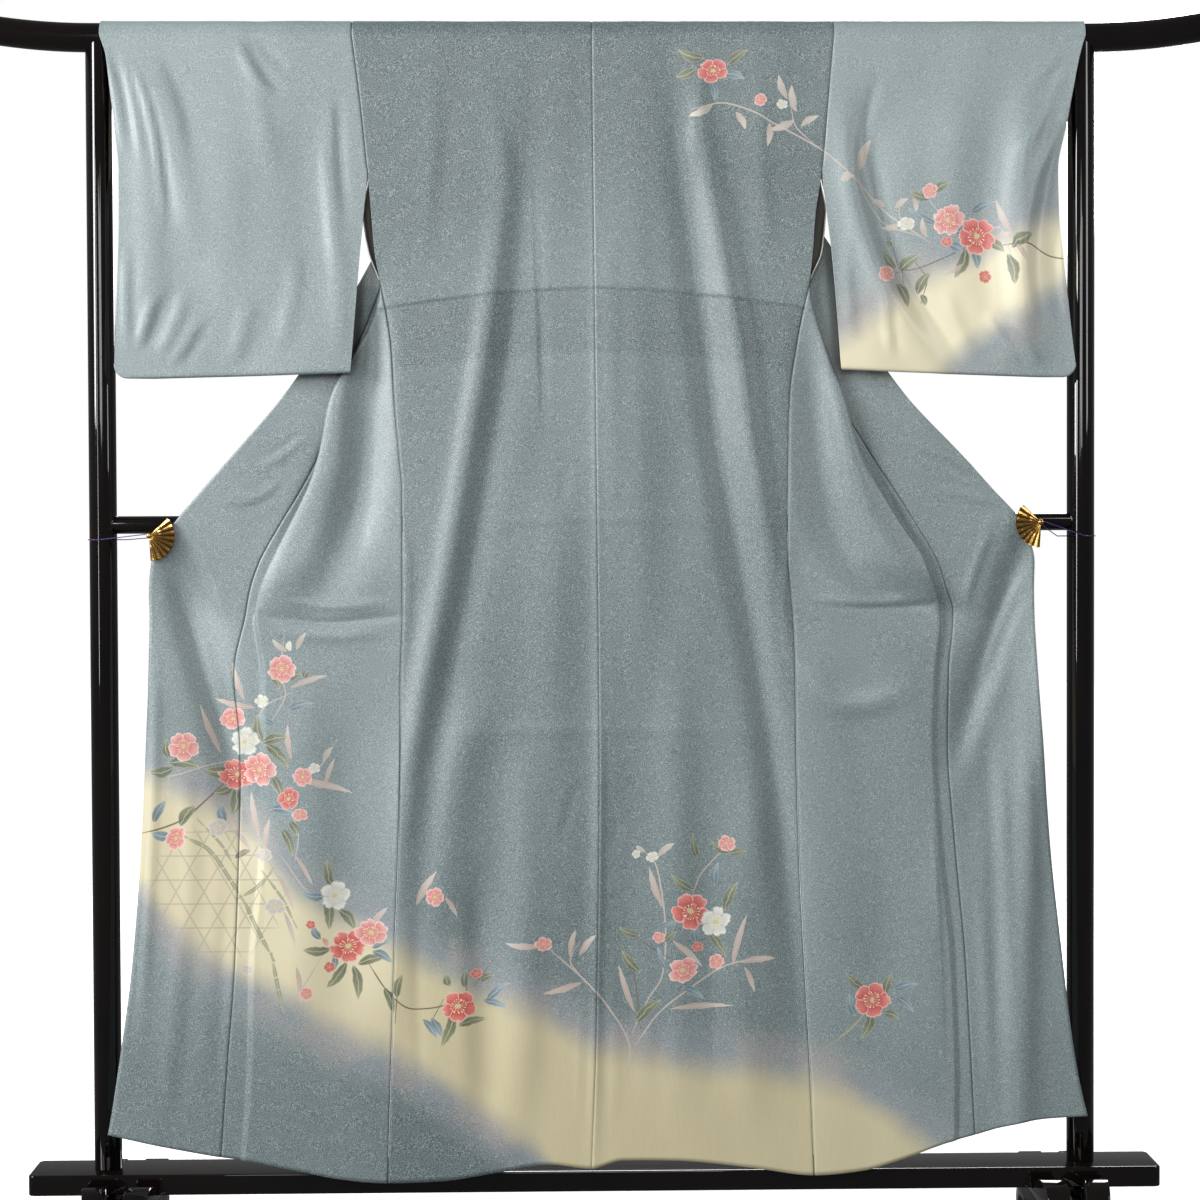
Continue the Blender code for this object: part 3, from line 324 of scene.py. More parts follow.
SLEEVE_CREASES = [Crease(*row[:3], row[3:]) for row in (
    (6, 2.6, .6, -672, 1668, -655, 1600, -640, 1500),
    (5, 2.0, .6, -652, 1664, -632, 1590, -612, 1480),
    (5, 3.2, .7, -640, 1660, -606, 1560, -590, 1440, -594, 1390),
    (8, 1.6, .4, -612, 1670, -575, 1580, -560, 1500),
    (7, 2.8, .6, -490, 1681, -480, 1650, -455, 1610, -430, 1585),
    (9, -2.4, 0, -472, 1682, -440, 1650, -415, 1620),
    (7, -2.8, -.5, -350, 1620, -345, 1500, -336, 1400),
    (8, 2.4, .3, -372, 1560, -364, 1450, -352, 1340),
    (12, 2.8, -.3, -405, 1400, -412, 1320, -430, 1230),
    (12, 2.4, .3, -470, 1330, -482, 1270, -500, 1215),
    (9, 2.8, -.5, -555, 1340, -575, 1280, -600, 1225),
    (7, 2.8, .5, -600, 1330, -612, 1290, -628, 1240),
    (8, 2.4, .5, -535, 1300, -560, 1255, -585, 1218),
    (6, 2.4, .4, -640, 1400, -642, 1320, -640, 1230),
    (18, 11.0, .8, 346, 1620, 350, 1530, 358, 1456, 382, 1374, 412, 1308, 462, 1235, 500, 1180),
    (7, -3.0, 0, 400, 1640, 378, 1560, 370, 1500, 384, 1430),
    (22, 4.6, 0, -640, 1690, -612, 1500, -606, 1350, -612, 1200),
    (14, 2.8, 0, -354, 1520, -348, 1350, -350, 1180),
    (10, 4.0, .5, 640, 1545, 606, 1450, 592, 1360, 604, 1260),
    (6, 2.4, -.5, 660, 1640, 620, 1560, 580, 1500), (7, 2.8, .4, 668, 1600, 630, 1520, 598, 1450),
    (6, 1.8, .4, 655, 1660, 600, 1600, 560, 1560), (8, 3.2, .6, 540, 1300, 560, 1262, 590, 1215),
    (7, 2.8, -.6, 570, 1290, 600, 1250, 622, 1216), (10, 2.4, .4, 480, 1330, 505, 1270, 530, 1220),
    (6, 3.0, .6, 400, 1330, 404, 1280, 412, 1226), (8, 2.0, -.3, 355, 1430, 352, 1330, 358, 1240),
    (6, 2.4, .4, 650, 1420, 648, 1350, 656, 1270),
)]

# ---- mesh rows and columns
BODY_STOPS = ((.100, .0066), (.840, .0036), (.980, .0066), (1.290, .0024), (1.338, .0066),
              (1.678, 0))
SLEEVE_STOPS = ((1.210, .0040), (1.678, 0))
BAR_STEPS = 14
NECK_COLUMNS = 12
FRONT_COLUMNS = 50
GORE_COLUMNS = 30
SLEEVE_COLUMNS = 62
COLLAR_COLUMNS = 12
COLLAR_STEP = .006
COLLAR_HEIGHTS = (1.6101, .0125)  # the collar's seam is read up to here, in such steps
SLEEVE_TURN = 6  # rows round its bottom fold
SLEEVE_GATHER = .2  # how far its columns draw to its edges
EDGE_STEPS = (.0006, .0014, .0026, .0044)  # columns beside a seam


def ease(value):
    """0 below 0, 1 above 1, soft between."""
    value = np.clip(value, 0, 1)
    return value * value * (3 - 2 * value)


def past(value, start, length):
    """0 up to a start, 1 from a length beyond it on."""
    return ease((value - start) / length)


def short_of(value, end, length):
    """1 up to a length before an end, 0 from the end on."""
    return ease((end - value) / length)


def read(points, place):
    """Smooth values through (place, value) points that never overshoot them."""
    xs, ys = np.array(sorted(points), float).T
    steps = np.diff(ys) / np.diff(xs)
    both = steps[:-1] + steps[1:]
    same_way = steps[:-1] * steps[1:] > 0
    inner = np.where(same_way, 2 * steps[:-1] * steps[1:] / np.where(same_way, both, 1), 0)
    slopes = np.concatenate((steps[:1], inner, steps[-1:]))
    place = np.clip(place, xs[0], xs[-1])
    at = np.clip(np.searchsorted(xs, place, side="right") - 1, 0, len(steps) - 1)
    span = xs[at + 1] - xs[at]
    t = (place - xs[at]) / span
    return (ys[at] * (1 + 2 * t) * (1 - t) ** 2 + ys[at + 1] * t * t * (3 - 2 * t)
            + span * (slopes[at] * t * (1 - t) ** 2 - slopes[at + 1] * t * t * (1 - t)))


def column(table, name, height):
    """One column of a table, by height."""
    return read([(row.height, getattr(row, name)) for row in table], height)


def rows_between(stops):
    """Heights of the mesh's rows, from (height, step from there up) stops."""
    heights = []
    for (low, step), (high, _) in zip(stops, stops[1:]):
        heights.extend(np.linspace(low, high, round((high - low) / step), endpoint=False))
    return np.array(heights + [stops[-1][0]])


# ---- relief of the cloth
FOLD_FADE = 1.8  # how soon a fold rises from its ends
CREASE_POINTS = 14
CREASE_REACH = 4  # half widths beside a crease that it may still lift
CREASE_FADE = .35  # share of its length over which it rises at each end
TROUGH_PLACE = 1.9  # half widths from a crease to its trough


def fold_rise(folds, x, z):
    rise = np.zeros_like(x)
    for fold in folds:
        path = read([(fold.low_z, fold.low_x), (fold.mid_z, fold.mid_x),
                     (fold.top_z, fold.top_x)], z)
        middle = 1 - abs(2 * (z - fold.low_z) / (fold.top_z - fold.low_z) - 1)
        rise += fold.rise * ease(middle * FOLD_FADE) * np.exp(-((x - path) / fold.half) ** 2)
    return rise


def pairs(path):
    """Places from a row of numbers, across and height in turn."""
    return np.array(path, float).reshape(-1, 2)


def curve_through(path, count):
    """Points on a smooth curve through a path, by its length."""
    path = np.array(path, float)
    length = np.concatenate(([0], np.cumsum(np.hypot(*np.diff(path, axis=0).T))))
    spots = np.linspace(0, length[-1], count)
    padded = np.vstack((2 * path[0] - path[1], path, 2 * path[-1] - path[-2]))
    at = np.clip(np.searchsorted(length, spots, side="right") - 1, 0, len(path) - 2)
    t = ((spots - length[at]) / (length[at + 1] - length[at]))[:, None]
    a, b, c, d = (padded[at + k] for k in range(4))
    return .5 * (2 * b + (c - a) * t + (2 * a - 5 * b + 4 * c - d) * t * t
                 + (3 * b - a - 3 * c + d) * t ** 3), length[-1]


def nearest_on(line, x, z):
    """Signed distance from a chain of points, and how far along it, for many places."""
    best = np.full(x.shape, np.inf)
    across = np.zeros_like(x)
    along = np.zeros_like(x)
    done = 0.0
    last = len(line) - 2
    for index, (a, b) in enumerate(zip(line, line[1:])):
        run = b - a
        size = math.hypot(*run)
        dx, dz = x - a[0], z - a[1]
        share = (dx * run[0] + dz * run[1]) / size ** 2
        held = np.clip(share, 0, 1)
        away = (dx - run[0] * held) ** 2 + (dz - run[1] * held) ** 2
        open_low = 0 if index else -np.inf
        open_high = 1 if index < last else np.inf
        closer = away < best
        best = np.where(closer, away, best)
        across = np.where(closer, (run[0] * dz - run[1] * dx) / size, across)
        along = np.where(closer, done + size * np.clip(share, open_low, open_high), along)
        done += size
    return across, along, np.sqrt(best)


def crease_rise(creases, x, z):
    rise = np.zeros_like(x)
    for crease in creases:
        line, length = curve_through(pairs(crease.path) / 1000, CREASE_POINTS)
        half = crease.half / 1000
        low = line.min(axis=0) - CREASE_REACH * half
        high = line.max(axis=0) + CREASE_REACH * half
        here = (x > low[0]) & (x < high[0]) & (z > low[1]) & (z < high[1])
        if not here.any():
            continue
        across, along, away = nearest_on(line, x[here], z[here])
        beyond = np.maximum(0, away - abs(across))
        share = np.clip(along / length, 0, 1)
        fade = ease(share / CREASE_FADE) * ease((1 - share) / CREASE_FADE)
        fade *= np.exp(-(beyond / half) ** 2)
        shape = np.exp(-(across / half) ** 2)
        if crease.trough:
            side = across * np.sign(crease.trough)
            shape -= abs(crease.trough) * np.exp(-((side - TROUGH_PLACE * half) / half) ** 2)
        rise[here] += crease.rise / 1000 * fade * shape
    return rise


def ripple(x, z):
    """The slight unevenness of hanging silk."""
    return .00035 * (np.sin(41 * x + 6 * z + 1.3 * np.sin(5 * z)) + .8 * np.sin(67 * x - 9 * z)
                     + .6 * np.sin(23 * x - 17 * z + 2 * np.sin(9 * x)))


def ledge(x, z):
    """The waist tuck: cloth above its seam stands over the cloth below."""
    above = z - read(TUCK_LINE, x)
    fade = np.exp(-(np.maximum(above, 0) / LEDGE_FADE) ** 2)
    return LEDGE * ease(above / LEDGE_EDGE + .5) * fade


def relief(x, z, deep=0.0):
    """Forward relief of the body; deep is 1 on the layers outside the big pleat."""
    rise = fold_rise(FOLDS, x, z) + ripple(x, z)
    for belly in BELLIES:
        away = ((x - belly.x) / belly.half_x) ** 2 + ((z - belly.z) / belly.half_z) ** 2
        rise += belly.rise * np.exp(-away)
    rise += crease_rise(WIDE_CREASES, x, z)
    rise += (crease_rise(NEAR_CREASES, x, z) + ledge(x, z)) * (1 - deep)
    return rise + crease_rise(DEEP_CREASES, x, z) * deep


# ---- depth of the layers
def back_depth(height):
    return -HANG_RADIUS - LEAN * (BAR_HEIGHT - height)


def layer_gap(height, overlap):
    """Between the back and the under layer, and between the pleat's layers."""
    share = np.clip(overlap / FULL_OVERLAP, 0, 1)
    apart = np.maximum(share, past(height, PLEAT_SHUT, PLEAT_GROW))
    share = np.where(height < PLEAT_LEVEL, apart, share)
    low = STEP / 2 + (LAYER - STEP / 2) * share
    return np.where(height > SLIT_TOP, LAYER * short_of(height, BAR_HEIGHT, GAP_GROW), low)


def under_depth(height, overlap):
    spread = np.clip((height - SLIT_END) / (BAR_HEIGHT - SLIT_END), 0, 1)
    near = layer_gap(height, overlap)
    return back_depth(height) + near + (2 * HANG_RADIUS - near) * spread


def slit_depth(height, under):
    """The front's slit edge comes from the under layer to the back, going down."""
    closed = short_of(height, SLIT_TOP, SLIT_TOP - SLIT_END)
    return under + (back_depth(height) + WALL + SEAT_GAP - under) * closed


Pleat = namedtuple("Pleat", "side fold tuck seam back under deep")


def pleat_at(side, height):
    """Where the pleated front lies at a height: its edges and folds across, its depths."""
    table = WIDTHS[side]
    start = column(table, "side", height) + column(table, "bow", height)
    fold = start + column(table, "flap", height)
    seam = column(table, "seam", height)
    slack = np.maximum(0, FRONT_WIDTH - abs(seam - fold) - (fold - start)) / 2
    slack = slack * short_of(height, FOLDS_START, FOLDS_GROW)
    slack = slack * past(height, STEP_TOP, STEP_GROW)
    tuck = np.minimum(seam, fold) - slack
    under = under_depth(height, slack)
    deep = under + layer_gap(height, slack)
    back = np.where(height < SLIT_END, back_depth(height), slit_depth(height, under))
    gap = SEAT_GAP * (1 - 2 * past(height, SLIT_END, SIDE_TURN))
    return Pleat(start + gap, fold + gap, tuck, seam, back, under, deep)


def along_legs(corners, distance):
    """A place on a chain of straight legs, by distance from its start."""
    x, y = corners[0][0] + 0 * distance, corners[0][1] + 0 * distance
    for start, end in zip(corners, corners[1:]):
        leg = np.hypot(end[0] - start[0], end[1] - start[1])
        share = np.clip(distance / np.maximum(leg, 1e-9), 0, 1)
        x = x + (end[0] - start[0]) * share
        y = y + (end[1] - start[1]) * share
        distance = distance - leg
    return x, y


def front_stations(pleat, height):
    """Distances along the pleated line, gathered on its bends, and where the bends are."""
    bend = FOLD_ROUND * BEND_COLUMNS
    first = pleat.fold - pleat.side + (pleat.under - pleat.back) / 2
    second = first + (pleat.deep - pleat.back) / 2 + pleat.fold - pleat.tuck
    whole = second + (pleat.deep - pleat.under) / 2 + pleat.seam - pleat.tuck
    second = np.minimum(np.maximum(second, 6 * bend), whole - 2 * bend)
    first = np.minimum(np.maximum(first, 2.5 * bend), second - 3 * bend)
    knots = np.concatenate((0 * whole, (first - bend) / 2, first - bend, first, first + bend,
                            (first + second) / 2, second - bend, second, second + bend,
                            (second + bend + whole) / 2, whole), axis=1)
    folded = short_of(height, FOLDS_START, FOLDS_GATHER)
    share = np.linspace(0, 1, FRONT_COLUMNS + 1)
    low = np.minimum((share * 10).astype(int), 9)
    place = knots[:, low] + (knots[:, low + 1] - knots[:, low]) * (share * 10 - low)
    even = share * whole
    steps = np.array(EDGE_STEPS) + 0 * whole
    spots = np.concatenate((even + (place - even) * folded, steps, whole - steps), axis=1)
    return np.sort(spots, axis=1), first, second, whole


def front_points(pleat, distance, whole):
    corners = ((pleat.side, pleat.back), (pleat.fold, pleat.back), (pleat.fold, pleat.under),
               (pleat.tuck, pleat.under), (pleat.tuck, pleat.deep), (pleat.seam, pleat.deep))
    reach = np.minimum(FOLD_ROUND, np.minimum(distance, whole - distance))
    spots = [along_legs(corners, distance + reach * step / 8) for step in range(-8, 9)]
    return sum(spot[0] for spot in spots) / 17, sum(spot[1] for spot in spots) / 17


def settle(x, height):
    """The lower cloth follows the line of the hem."""
    fade = np.clip(1 - (height - HEM_LEVEL) / HEM_REACH, 0, 1) ** 2
    return height + (read(HEM_LINE, x) - HEM_LEVEL) * fade


def groove(distance):
    """How far the cloth turns in, by distance from its seam."""
    return GROOVE * np.exp(-(distance / GROOVE_REACH) ** 2)


def side_sewn(height):
    """1 where the side seam or the sleeve's seam holds an edge, 0 along the open slit."""
    return 1 - past(height, SLIT_END, SEAM_FADE) * short_of(height, SLIT_TOP, SEAM_FADE)


def place_body(x, depth, height, deep=0.0):
    height = height + 0 * x
    z = settle(x, height)
    return np.stack((x, depth - relief(x, z, deep + 0 * x), z), axis=-1)


# ---- the pattern
# Places are (across, height) in millimetres.  Blooms: centre, radius, kind, turn in degrees.
CORAL, PINK, WHITE, FADED = 1, 2, 3, 4
OLIVE, BLUE, BLADE, BUD, PALE, TAN, IVORY = 1, 2, 3, 4, 5, 6, 7
TWIG, BROWN, CANE, STRAW = 1, 2, 3, 4
Bloom = namedtuple("Bloom", "x z radius kind turn")
BLOOMS = [Bloom(*row) for row in (
    (530, 1399, 25, CORAL, 10), (491, 1421, 23, PINK, 40), (434, 1417, 12, WHITE, 0),
    (404, 1347, 12, PINK, 20), (488, 1392, 8, CORAL, 0), (541, 1343, 9, CORAL, 30),
    (466, 1462, 11, PINK, 60), (166, 1628, 21, CORAL, 15), (232, 1588, 9, PINK, 40),
    (262, 1582, 8, WHITE, 0), (-430, 806, 19, PINK, 30), (-458, 762, 10, WHITE, 0),
    (-500, 738, 19, PINK, 15), (-482, 706, 21, WHITE, 50), (-494, 660, 25, CORAL, 5),
    (-462, 668, 23, PINK, 35), (-421, 628, 16, CORAL, 60), (-406, 606, 11, PINK, 0),
    (-566, 700, 21, PINK, 20), (-577, 574, 17, PINK, 70), (-402, 658, 13, PINK, 10),
    (-386, 670, 8, WHITE, 0), (-441, 480, 15, FADED, 0), (-520, 588, 13, FADED, 30),
    (-456, 550, 11, FADED, 10), (-358, 494, 20, WHITE, 40), (-341, 424, 25, CORAL, 25),
    (-309, 443, 23, PINK, 0), (-367, 396, 8, CORAL, 0), (-392, 455, 7, CORAL, 0),
    (131, 470, 25, CORAL, 12), (165, 455, 22, WHITE, 44), (120, 389, 21, PINK, 30),
    (181, 563, 12, PINK, 0), (78, 545, 9, WHITE, 20), (56, 549, 6, WHITE, 0),
    (87, 434, 9, PINK, 0), (140, 421, 8, CORAL, 0), (166, 400, 11, PINK, 40),
    (-72, 426, 12, PINK, 0), (-221, 492, 13, PINK, 30), (-189, 341, 24, CORAL, 20),
    (-165, 385, 9, CORAL, 0), (381, 345, 25, CORAL, 33), (-480, 392, 9, FADED, 0),
    (-398, 360, 9, PINK, 0),
)]
# Leaves, blades and buds: centre, length, width, turn of the tip in degrees, kind.
Leaf = namedtuple("Leaf", "x z length width turn kind")
LEAVES = [Leaf(*row, kind) for kind, rows in (
    # the sleeve
    (OLIVE, (
        (408, 1368, 34, 13, 125), (437, 1364, 36, 16, 38), (428, 1319, 36, 16, -65),
        (456, 1336, 34, 14, 62), (458, 1312, 16, 9, -70), (509, 1361, 42, 16, -112),
        (578, 1353, 42, 15, -78), (590, 1394, 34, 18, 35), (556, 1386, 28, 14, -30),
        (482, 1468, 24, 12, 35), (452, 1455, 30, 11, 160), (410, 1389, 12, 9, -80))),
    (BLUE, (
        (455, 1427, 44, 10, 150), (538, 1440, 38, 12, 25), (512, 1408, 30, 9, 20),
        (502, 1383, 20, 15, -25), (529, 1367, 26, 12, -75))),
    (PALE, (
        (375, 1513, 44, 14, 70), (351, 1481, 18, 12, 20), (277, 1590, 36, 10, 100),
        (262, 1552, 34, 11, 200), (397, 1447, 16, 9, 140), (427, 1446, 20, 9, 35),
        (446, 1443, 18, 8, -80), (412, 1413, 24, 9, 190))),
    (BLADE, (
        (566, 1424, 52, 9, 112), (590, 1376, 24, 8, -60), (566, 1400, 22, 8, 20),
        (498, 1352, 30, 6, -150))),
    (PALE, ((457, 1412, 26, 9, 100),)),
    # the shoulder
    (OLIVE, ((136, 1649, 36, 14, 160), (130, 1624, 30, 13, 200), (200, 1648, 34, 12, 35))),
    (BLUE, ((196, 1622, 30, 12, -10), (168, 1600, 26, 11, -80))),
    (PALE, (
        (150, 1572, 34, 11, 205), (206, 1560, 26, 10, -60), (262, 1606, 34, 10, 110),
        (244, 1540, 30, 10, -95), (300, 1560, 28, 9, 30))),
    # the left front and gore
    (OLIVE, (
        (-562, 606, 34, 17, 55), (-589, 697, 26, 12, 95), (-596, 666, 34, 16, 190),
        (-566, 677, 40, 17, -8), (-520, 665, 34, 18, 175), (-512, 638, 26, 14, 195),
        (-497, 622, 38, 18, -98), (-463, 724, 38, 14, 100), (-440, 710, 36, 15, 12),
        (-436, 688, 44, 16, -45), (-436, 645, 30, 13, -70), (-438, 790, 24, 12, -60),
        (-412, 797, 20, 12, 20), (-397, 799, 12, 11, 60), (-422, 569, 40, 13, -68),
        (-367, 524, 38, 13, 100), (-368, 470, 44, 15, -85), (-341, 462, 34, 15, -50),
        (-384, 419, 36, 14, 178), (-356, 384, 44, 14, -128), (-329, 374, 46, 14, -82),
        (-308, 406, 40, 13, 15), (-284, 350, 38, 12, -72), (-272, 370, 32, 12, 75),
        (-414, 588, 22, 12, -60))),
    (TAN, ((-486, 552, 24, 9, 25),)),
    (BLUE, (
        (-600, 612, 34, 13, 60), (-597, 578, 28, 15, 170), (-405, 756, 34, 12, 15),
        (-428, 612, 36, 15, -10), (-388, 495, 34, 12, 170), (-293, 411, 30, 12, -30),
        (-228, 311, 32, 11, -55), (-452, 736, 26, 9, 150), (-385, 444, 22, 11, 120),
        (-296, 428, 26, 10, 25), (-514, 606, 30, 13, 100), (-360, 402, 26, 9, -95))),
    (BLADE, (
        (-492, 789, 52, 9, 108), (-497, 758, 56, 9, 168), (-393, 790, 50, 8, 18),
        (-421, 706, 46, 8, 96), (-372, 646, 76, 10, -14), (-366, 664, 40, 7, 70),
        (-470, 606, 60, 9, 100), (-532, 724, 70, 8, 112))),
    (PALE, ((-434, 838, 26, 8, 140), (-404, 845, 26, 8, 60))),
    (IVORY, ((-420, 838, 14, 9, 90),)),
    (PALE, ((-368, 690, 22, 8, 55),)),
    (BLADE, (
        (-425, 500, 54, 7, -68), (-505, 600, 46, 8, -64), (-486, 570, 40, 7, -50),
        (-452, 580, 40, 8, 82), (-400, 530, 46, 6, -60), (-420, 450, 50, 6, -72),
        (-408, 372, 50, 7, -84))),
    (PALE, ((-590, 640, 20, 8, -70),)),
    (BLADE, ((-300, 463, 40, 9, 50),)),
    (BUD, ((-372, 430, 14, 7, -60),)),
    # the centre and the right front
    (OLIVE, (
        (136, 560, 34, 10, 100), (172, 557, 30, 12, 150), (196, 551, 24, 10, 10),
        (119, 508, 36, 12, 145), (185, 491, 42, 14, 66), (46, 441, 30, 11, 160),
        (102, 436, 22, 9, 40), (47, 400, 38, 14, 130), (168, 424, 44, 12, -55),
        (71, 334, 46, 15, 42), (-205, 377, 16, 12, 95), (-181, 379, 24, 10, 85),
        (-150, 380, 22, 10, 20), (-171, 320, 38, 12, 12), (-203, 309, 50, 16, -112),
        (357, 371, 34, 12, 140), (403, 366, 32, 12, 72), (375, 309, 36, 15, -112),
        (408, 324, 22, 12, -20))),
    (BLUE, (
        (165, 521, 32, 12, 80), (137, 439, 24, 13, 85), (91, 404, 36, 9, 112),
        (134, 359, 32, 12, -30), (-136, 361, 42, 11, 40), (-139, 344, 34, 10, -15),
        (-219, 312, 30, 11, -60), (352, 339, 30, 12, 105), (427, 364, 34, 12, 15),
        (427, 340, 32, 11, -40), (100, 452, 34, 8, 20))),
    (BLADE, (
        (82, 503, 56, 9, 108), (197, 431, 70, 9, 74), (223, 403, 48, 9, 6), (41, 364, 66, 8, 108),
        (146, 339, 84, 8, 2), (127, 412, 52, 9, -42), (212, 376, 36, 8, -68),
        (-33, 427, 36, 8, 78), (-12, 425, 36, 9, 52), (-101, 424, 46, 9, 176),
        (-47, 364, 54, 9, 196), (-234, 505, 52, 10, 58), (-198, 478, 30, 7, -60))),
    (PALE, ((97, 556, 28, 9, 40), (62, 556, 14, 8, 150))),
) for row in rows]
# Stems and canes: half the width and kind, then the path, across and height in turn.
Stem = namedtuple("Stem", "half kind path")
STEMS = [Stem(*row[:2], row[2:]) for row in (
    (1.1, TWIG, 150, 1578, 182, 1584, 222, 1572, 250, 1556, 318, 1518, 362, 1478, 408, 1432, 458,
     1396),
    (.9, TWIG, 275, 1574, 280, 1552, 300, 1532),
    (.9, TWIG, 366, 1490, 372, 1462, 402, 1420, 450, 1400),
    (.8, TWIG, 425, 1444, 424, 1428, 436, 1416), (.8, TWIG, 462, 1454, 472, 1440, 480, 1430),
    (1.0, BROWN, 566, 1386, 600, 1388, 630, 1372, 662, 1366),
    (.8, TWIG, 570, 1392, 562, 1412, 574, 1378),
    (.8, BROWN, 412, 1342, 424, 1352, 452, 1356, 500, 1376, 520, 1386),
    (.8, BROWN, 424, 1352, 418, 1376), (.8, BROWN, 428, 1350, 430, 1332),
    (.8, BROWN, 452, 1356, 462, 1340, 457, 1318),
    (.9, TWIG, -428, 842, -430, 822, -432, 800, -425, 770, -440, 742),
    (.9, TWIG, -425, 770, -452, 756, -470, 730),
    (1.2, BROWN, -620, 582, -590, 590, -560, 605, -510, 650),
    (.9, TWIG, -598, 660, -580, 660, -540, 672, -510, 678),
    (.8, TWIG, -584, 668, -588, 645, -592, 618),
    (1.0, TWIG, -440, 640, -420, 612, -408, 580, -412, 548),
    (.9, TWIG, -400, 655, -378, 672, -360, 700),
    (.9, TWIG, -425, 540, -400, 505, -380, 490, -360, 470),
    (1.0, BROWN, -310, 396, -290, 366, -262, 340, -232, 338, -200, 344),
    (.9, BROWN, -274, 356, -276, 330), (.8, BROWN, -215, 342, -226, 322),
    (.8, TWIG, -384, 400, -396, 380, -412, 356), (.9, BROWN, -178, 372, -180, 352),
    (.8, BROWN, -150, 392, -164, 374), (1.1, TWIG, 45, 250, 44, 292, 14, 342, -16, 376, -55, 411),
    (.9, TWIG, -20, 380, -36, 402, -28, 420),
    (1.1, TWIG, 58, 292, 86, 330, 126, 362, 182, 396, 232, 405),
    (1.1, TWIG, 54, 312, 72, 350, 90, 378, 96, 424, 94, 474, 84, 532, 72, 548),
    (.9, TWIG, 134, 494, 144, 520, 166, 544, 178, 556), (.9, BROWN, 50, 400, 56, 360, 60, 318),
    (.8, BROWN, 60, 432, 76, 420, 94, 410), (1.1, STRAW, 330, 289, 352, 306, 372, 328),
    (2.6, CANE, -560, 574, -530, 556, -505, 520, -490, 496),
    (2.6, CANE, -484, 488, -466, 450, -448, 416), (2.6, CANE, -444, 404, -438, 372, -432, 344),
    (2.6, CANE, -486, 494, -468, 504, -452, 520), (1.8, CANE, -538, 590, -516, 566, -500, 540),
    (1.8, CANE, -452, 520, -430, 490, -416, 462),
)]
# Edges of the pale dyed band, across and height in metres.
BAND_TOP = ((-.70, .72), (-.619, .667), (-.480, .585), (-.410, .502), (-.271, .426),
            (-.159, .364), (-.089, .337), (.008, .282), (.148, .261), (.287, .241),
            (.371, .213), (.427, .171), (.469, .144), (.530, .070), (.700, -.10))
BAND_FOOT = ((-.70, .550), (-.633, .509), (-.578, .447), (-.515, .399), (-.424, .350),
             (-.354, .309), (-.271, .268), (-.215, .233), (-.131, .171), (-.075, .130),
             (-.020, .020), (.10, -.10), (.70, -.30))
SLEEVE_BAND_TOP = ((.33, 1.258), (.350, 1.267), (.413, 1.308), (.462, 1.343), (.511, 1.367),
                   (.573, 1.398), (.622, 1.423), (.69, 1.440))
SLEEVE_BAND_FOOT = ((.33, 1.10), (.46, 1.185), (.497, 1.224), (.545, 1.263), (.597, 1.300),
                    (.664, 1.336), (.69, 1.345))
BAND_SLANT = .84  # a slanting edge is nearer than its height says
BLOOM_LAYERS = 2
LEAF_LAYERS = 3
STEM_LAYERS = 2
FAR = 9.0  # a pattern place that holds nothing
CLEAR = 7  # elements this far apart may share a layer
MARK_REACH = 12.0  # no mark lies further from its element
BLOOM_SIZE = 1.08  # drawn sizes against the listed ones
LEAF_LENGTH = 1.08
LEAF_WIDTH = 1.2
STEM_PIECE = 7
STEM_NEAR = 14


def band_depth(x, z, tops, feet):
    """How far inside the dyed band a place lies, in metres."""
    return BAND_SLANT * np.minimum(read(tops, x) - z, z - read(feet, x))


def in_layers(sizes, apart, count):
    """Puts each element in the first layer where no other comes near it."""
    layers = []
    for index in range(len(sizes)):
        room = [min((apart(index, other) for other in range(index) if layers[other] == layer),
                    default=math.inf) for layer in range(count)]
        clear = [layer for layer in range(count) if room[layer] > CLEAR]
        layers.append(clear[0] if clear else int(np.argmax(room)))
    return np.array(layers)


def bloom_marks(x, z, centre_x, centre_z):
    """For each corner and layer: place in the nearest bloom, in its own radius, and kind."""
    items = np.array([(b.x, b.z, b.radius * BLOOM_SIZE, b.kind, math.radians(b.turn),
                       1 + .30 * (index * 7 % 5) / 4) for index, b in enumerate(BLOOMS)])
    layers = in_layers(items, lambda a, b: math.dist(items[a, :2], items[b, :2])
                       - items[a, 2] - items[b, 2], BLOOM_LAYERS)
    for layer in range(BLOOM_LAYERS):
        own = items[layers == layer]
        away = np.hypot(centre_x[:, None] - own[:, 0], centre_z[:, None] - own[:, 1]) - own[:, 2]
        best = away.argmin(axis=1)
        item = own[best].repeat(4, axis=0)
        dx, dz = (x - item[:, 0]) / item[:, 2], (z - item[:, 1]) / item[:, 2]
        cos, sin = np.cos(item[:, 4]), np.sin(item[:, 4])
        marks = np.stack((dx * cos + dz * sin, (dz * cos - dx * sin) * item[:, 5],
                          item[:, 3]), axis=1)
        marks[(away.min(axis=1) > MARK_REACH).repeat(4)] = FAR, FAR, 0
        yield f"bloom_{layer}", marks


def leaf_gap(a, b):
    """About how far apart two leaves are."""
    spots = []
    for leaf in (a, b):
        run = np.array((math.cos(leaf[4]), math.sin(leaf[4]))) * (leaf[2] - leaf[3]) / 2
        spots.append([leaf[:2] + run * step / 3 for step in range(-3, 4)])
    return min(math.dist(p, q) for p in spots[0] for q in spots[1]) - (a[3] + b[3]) / 2


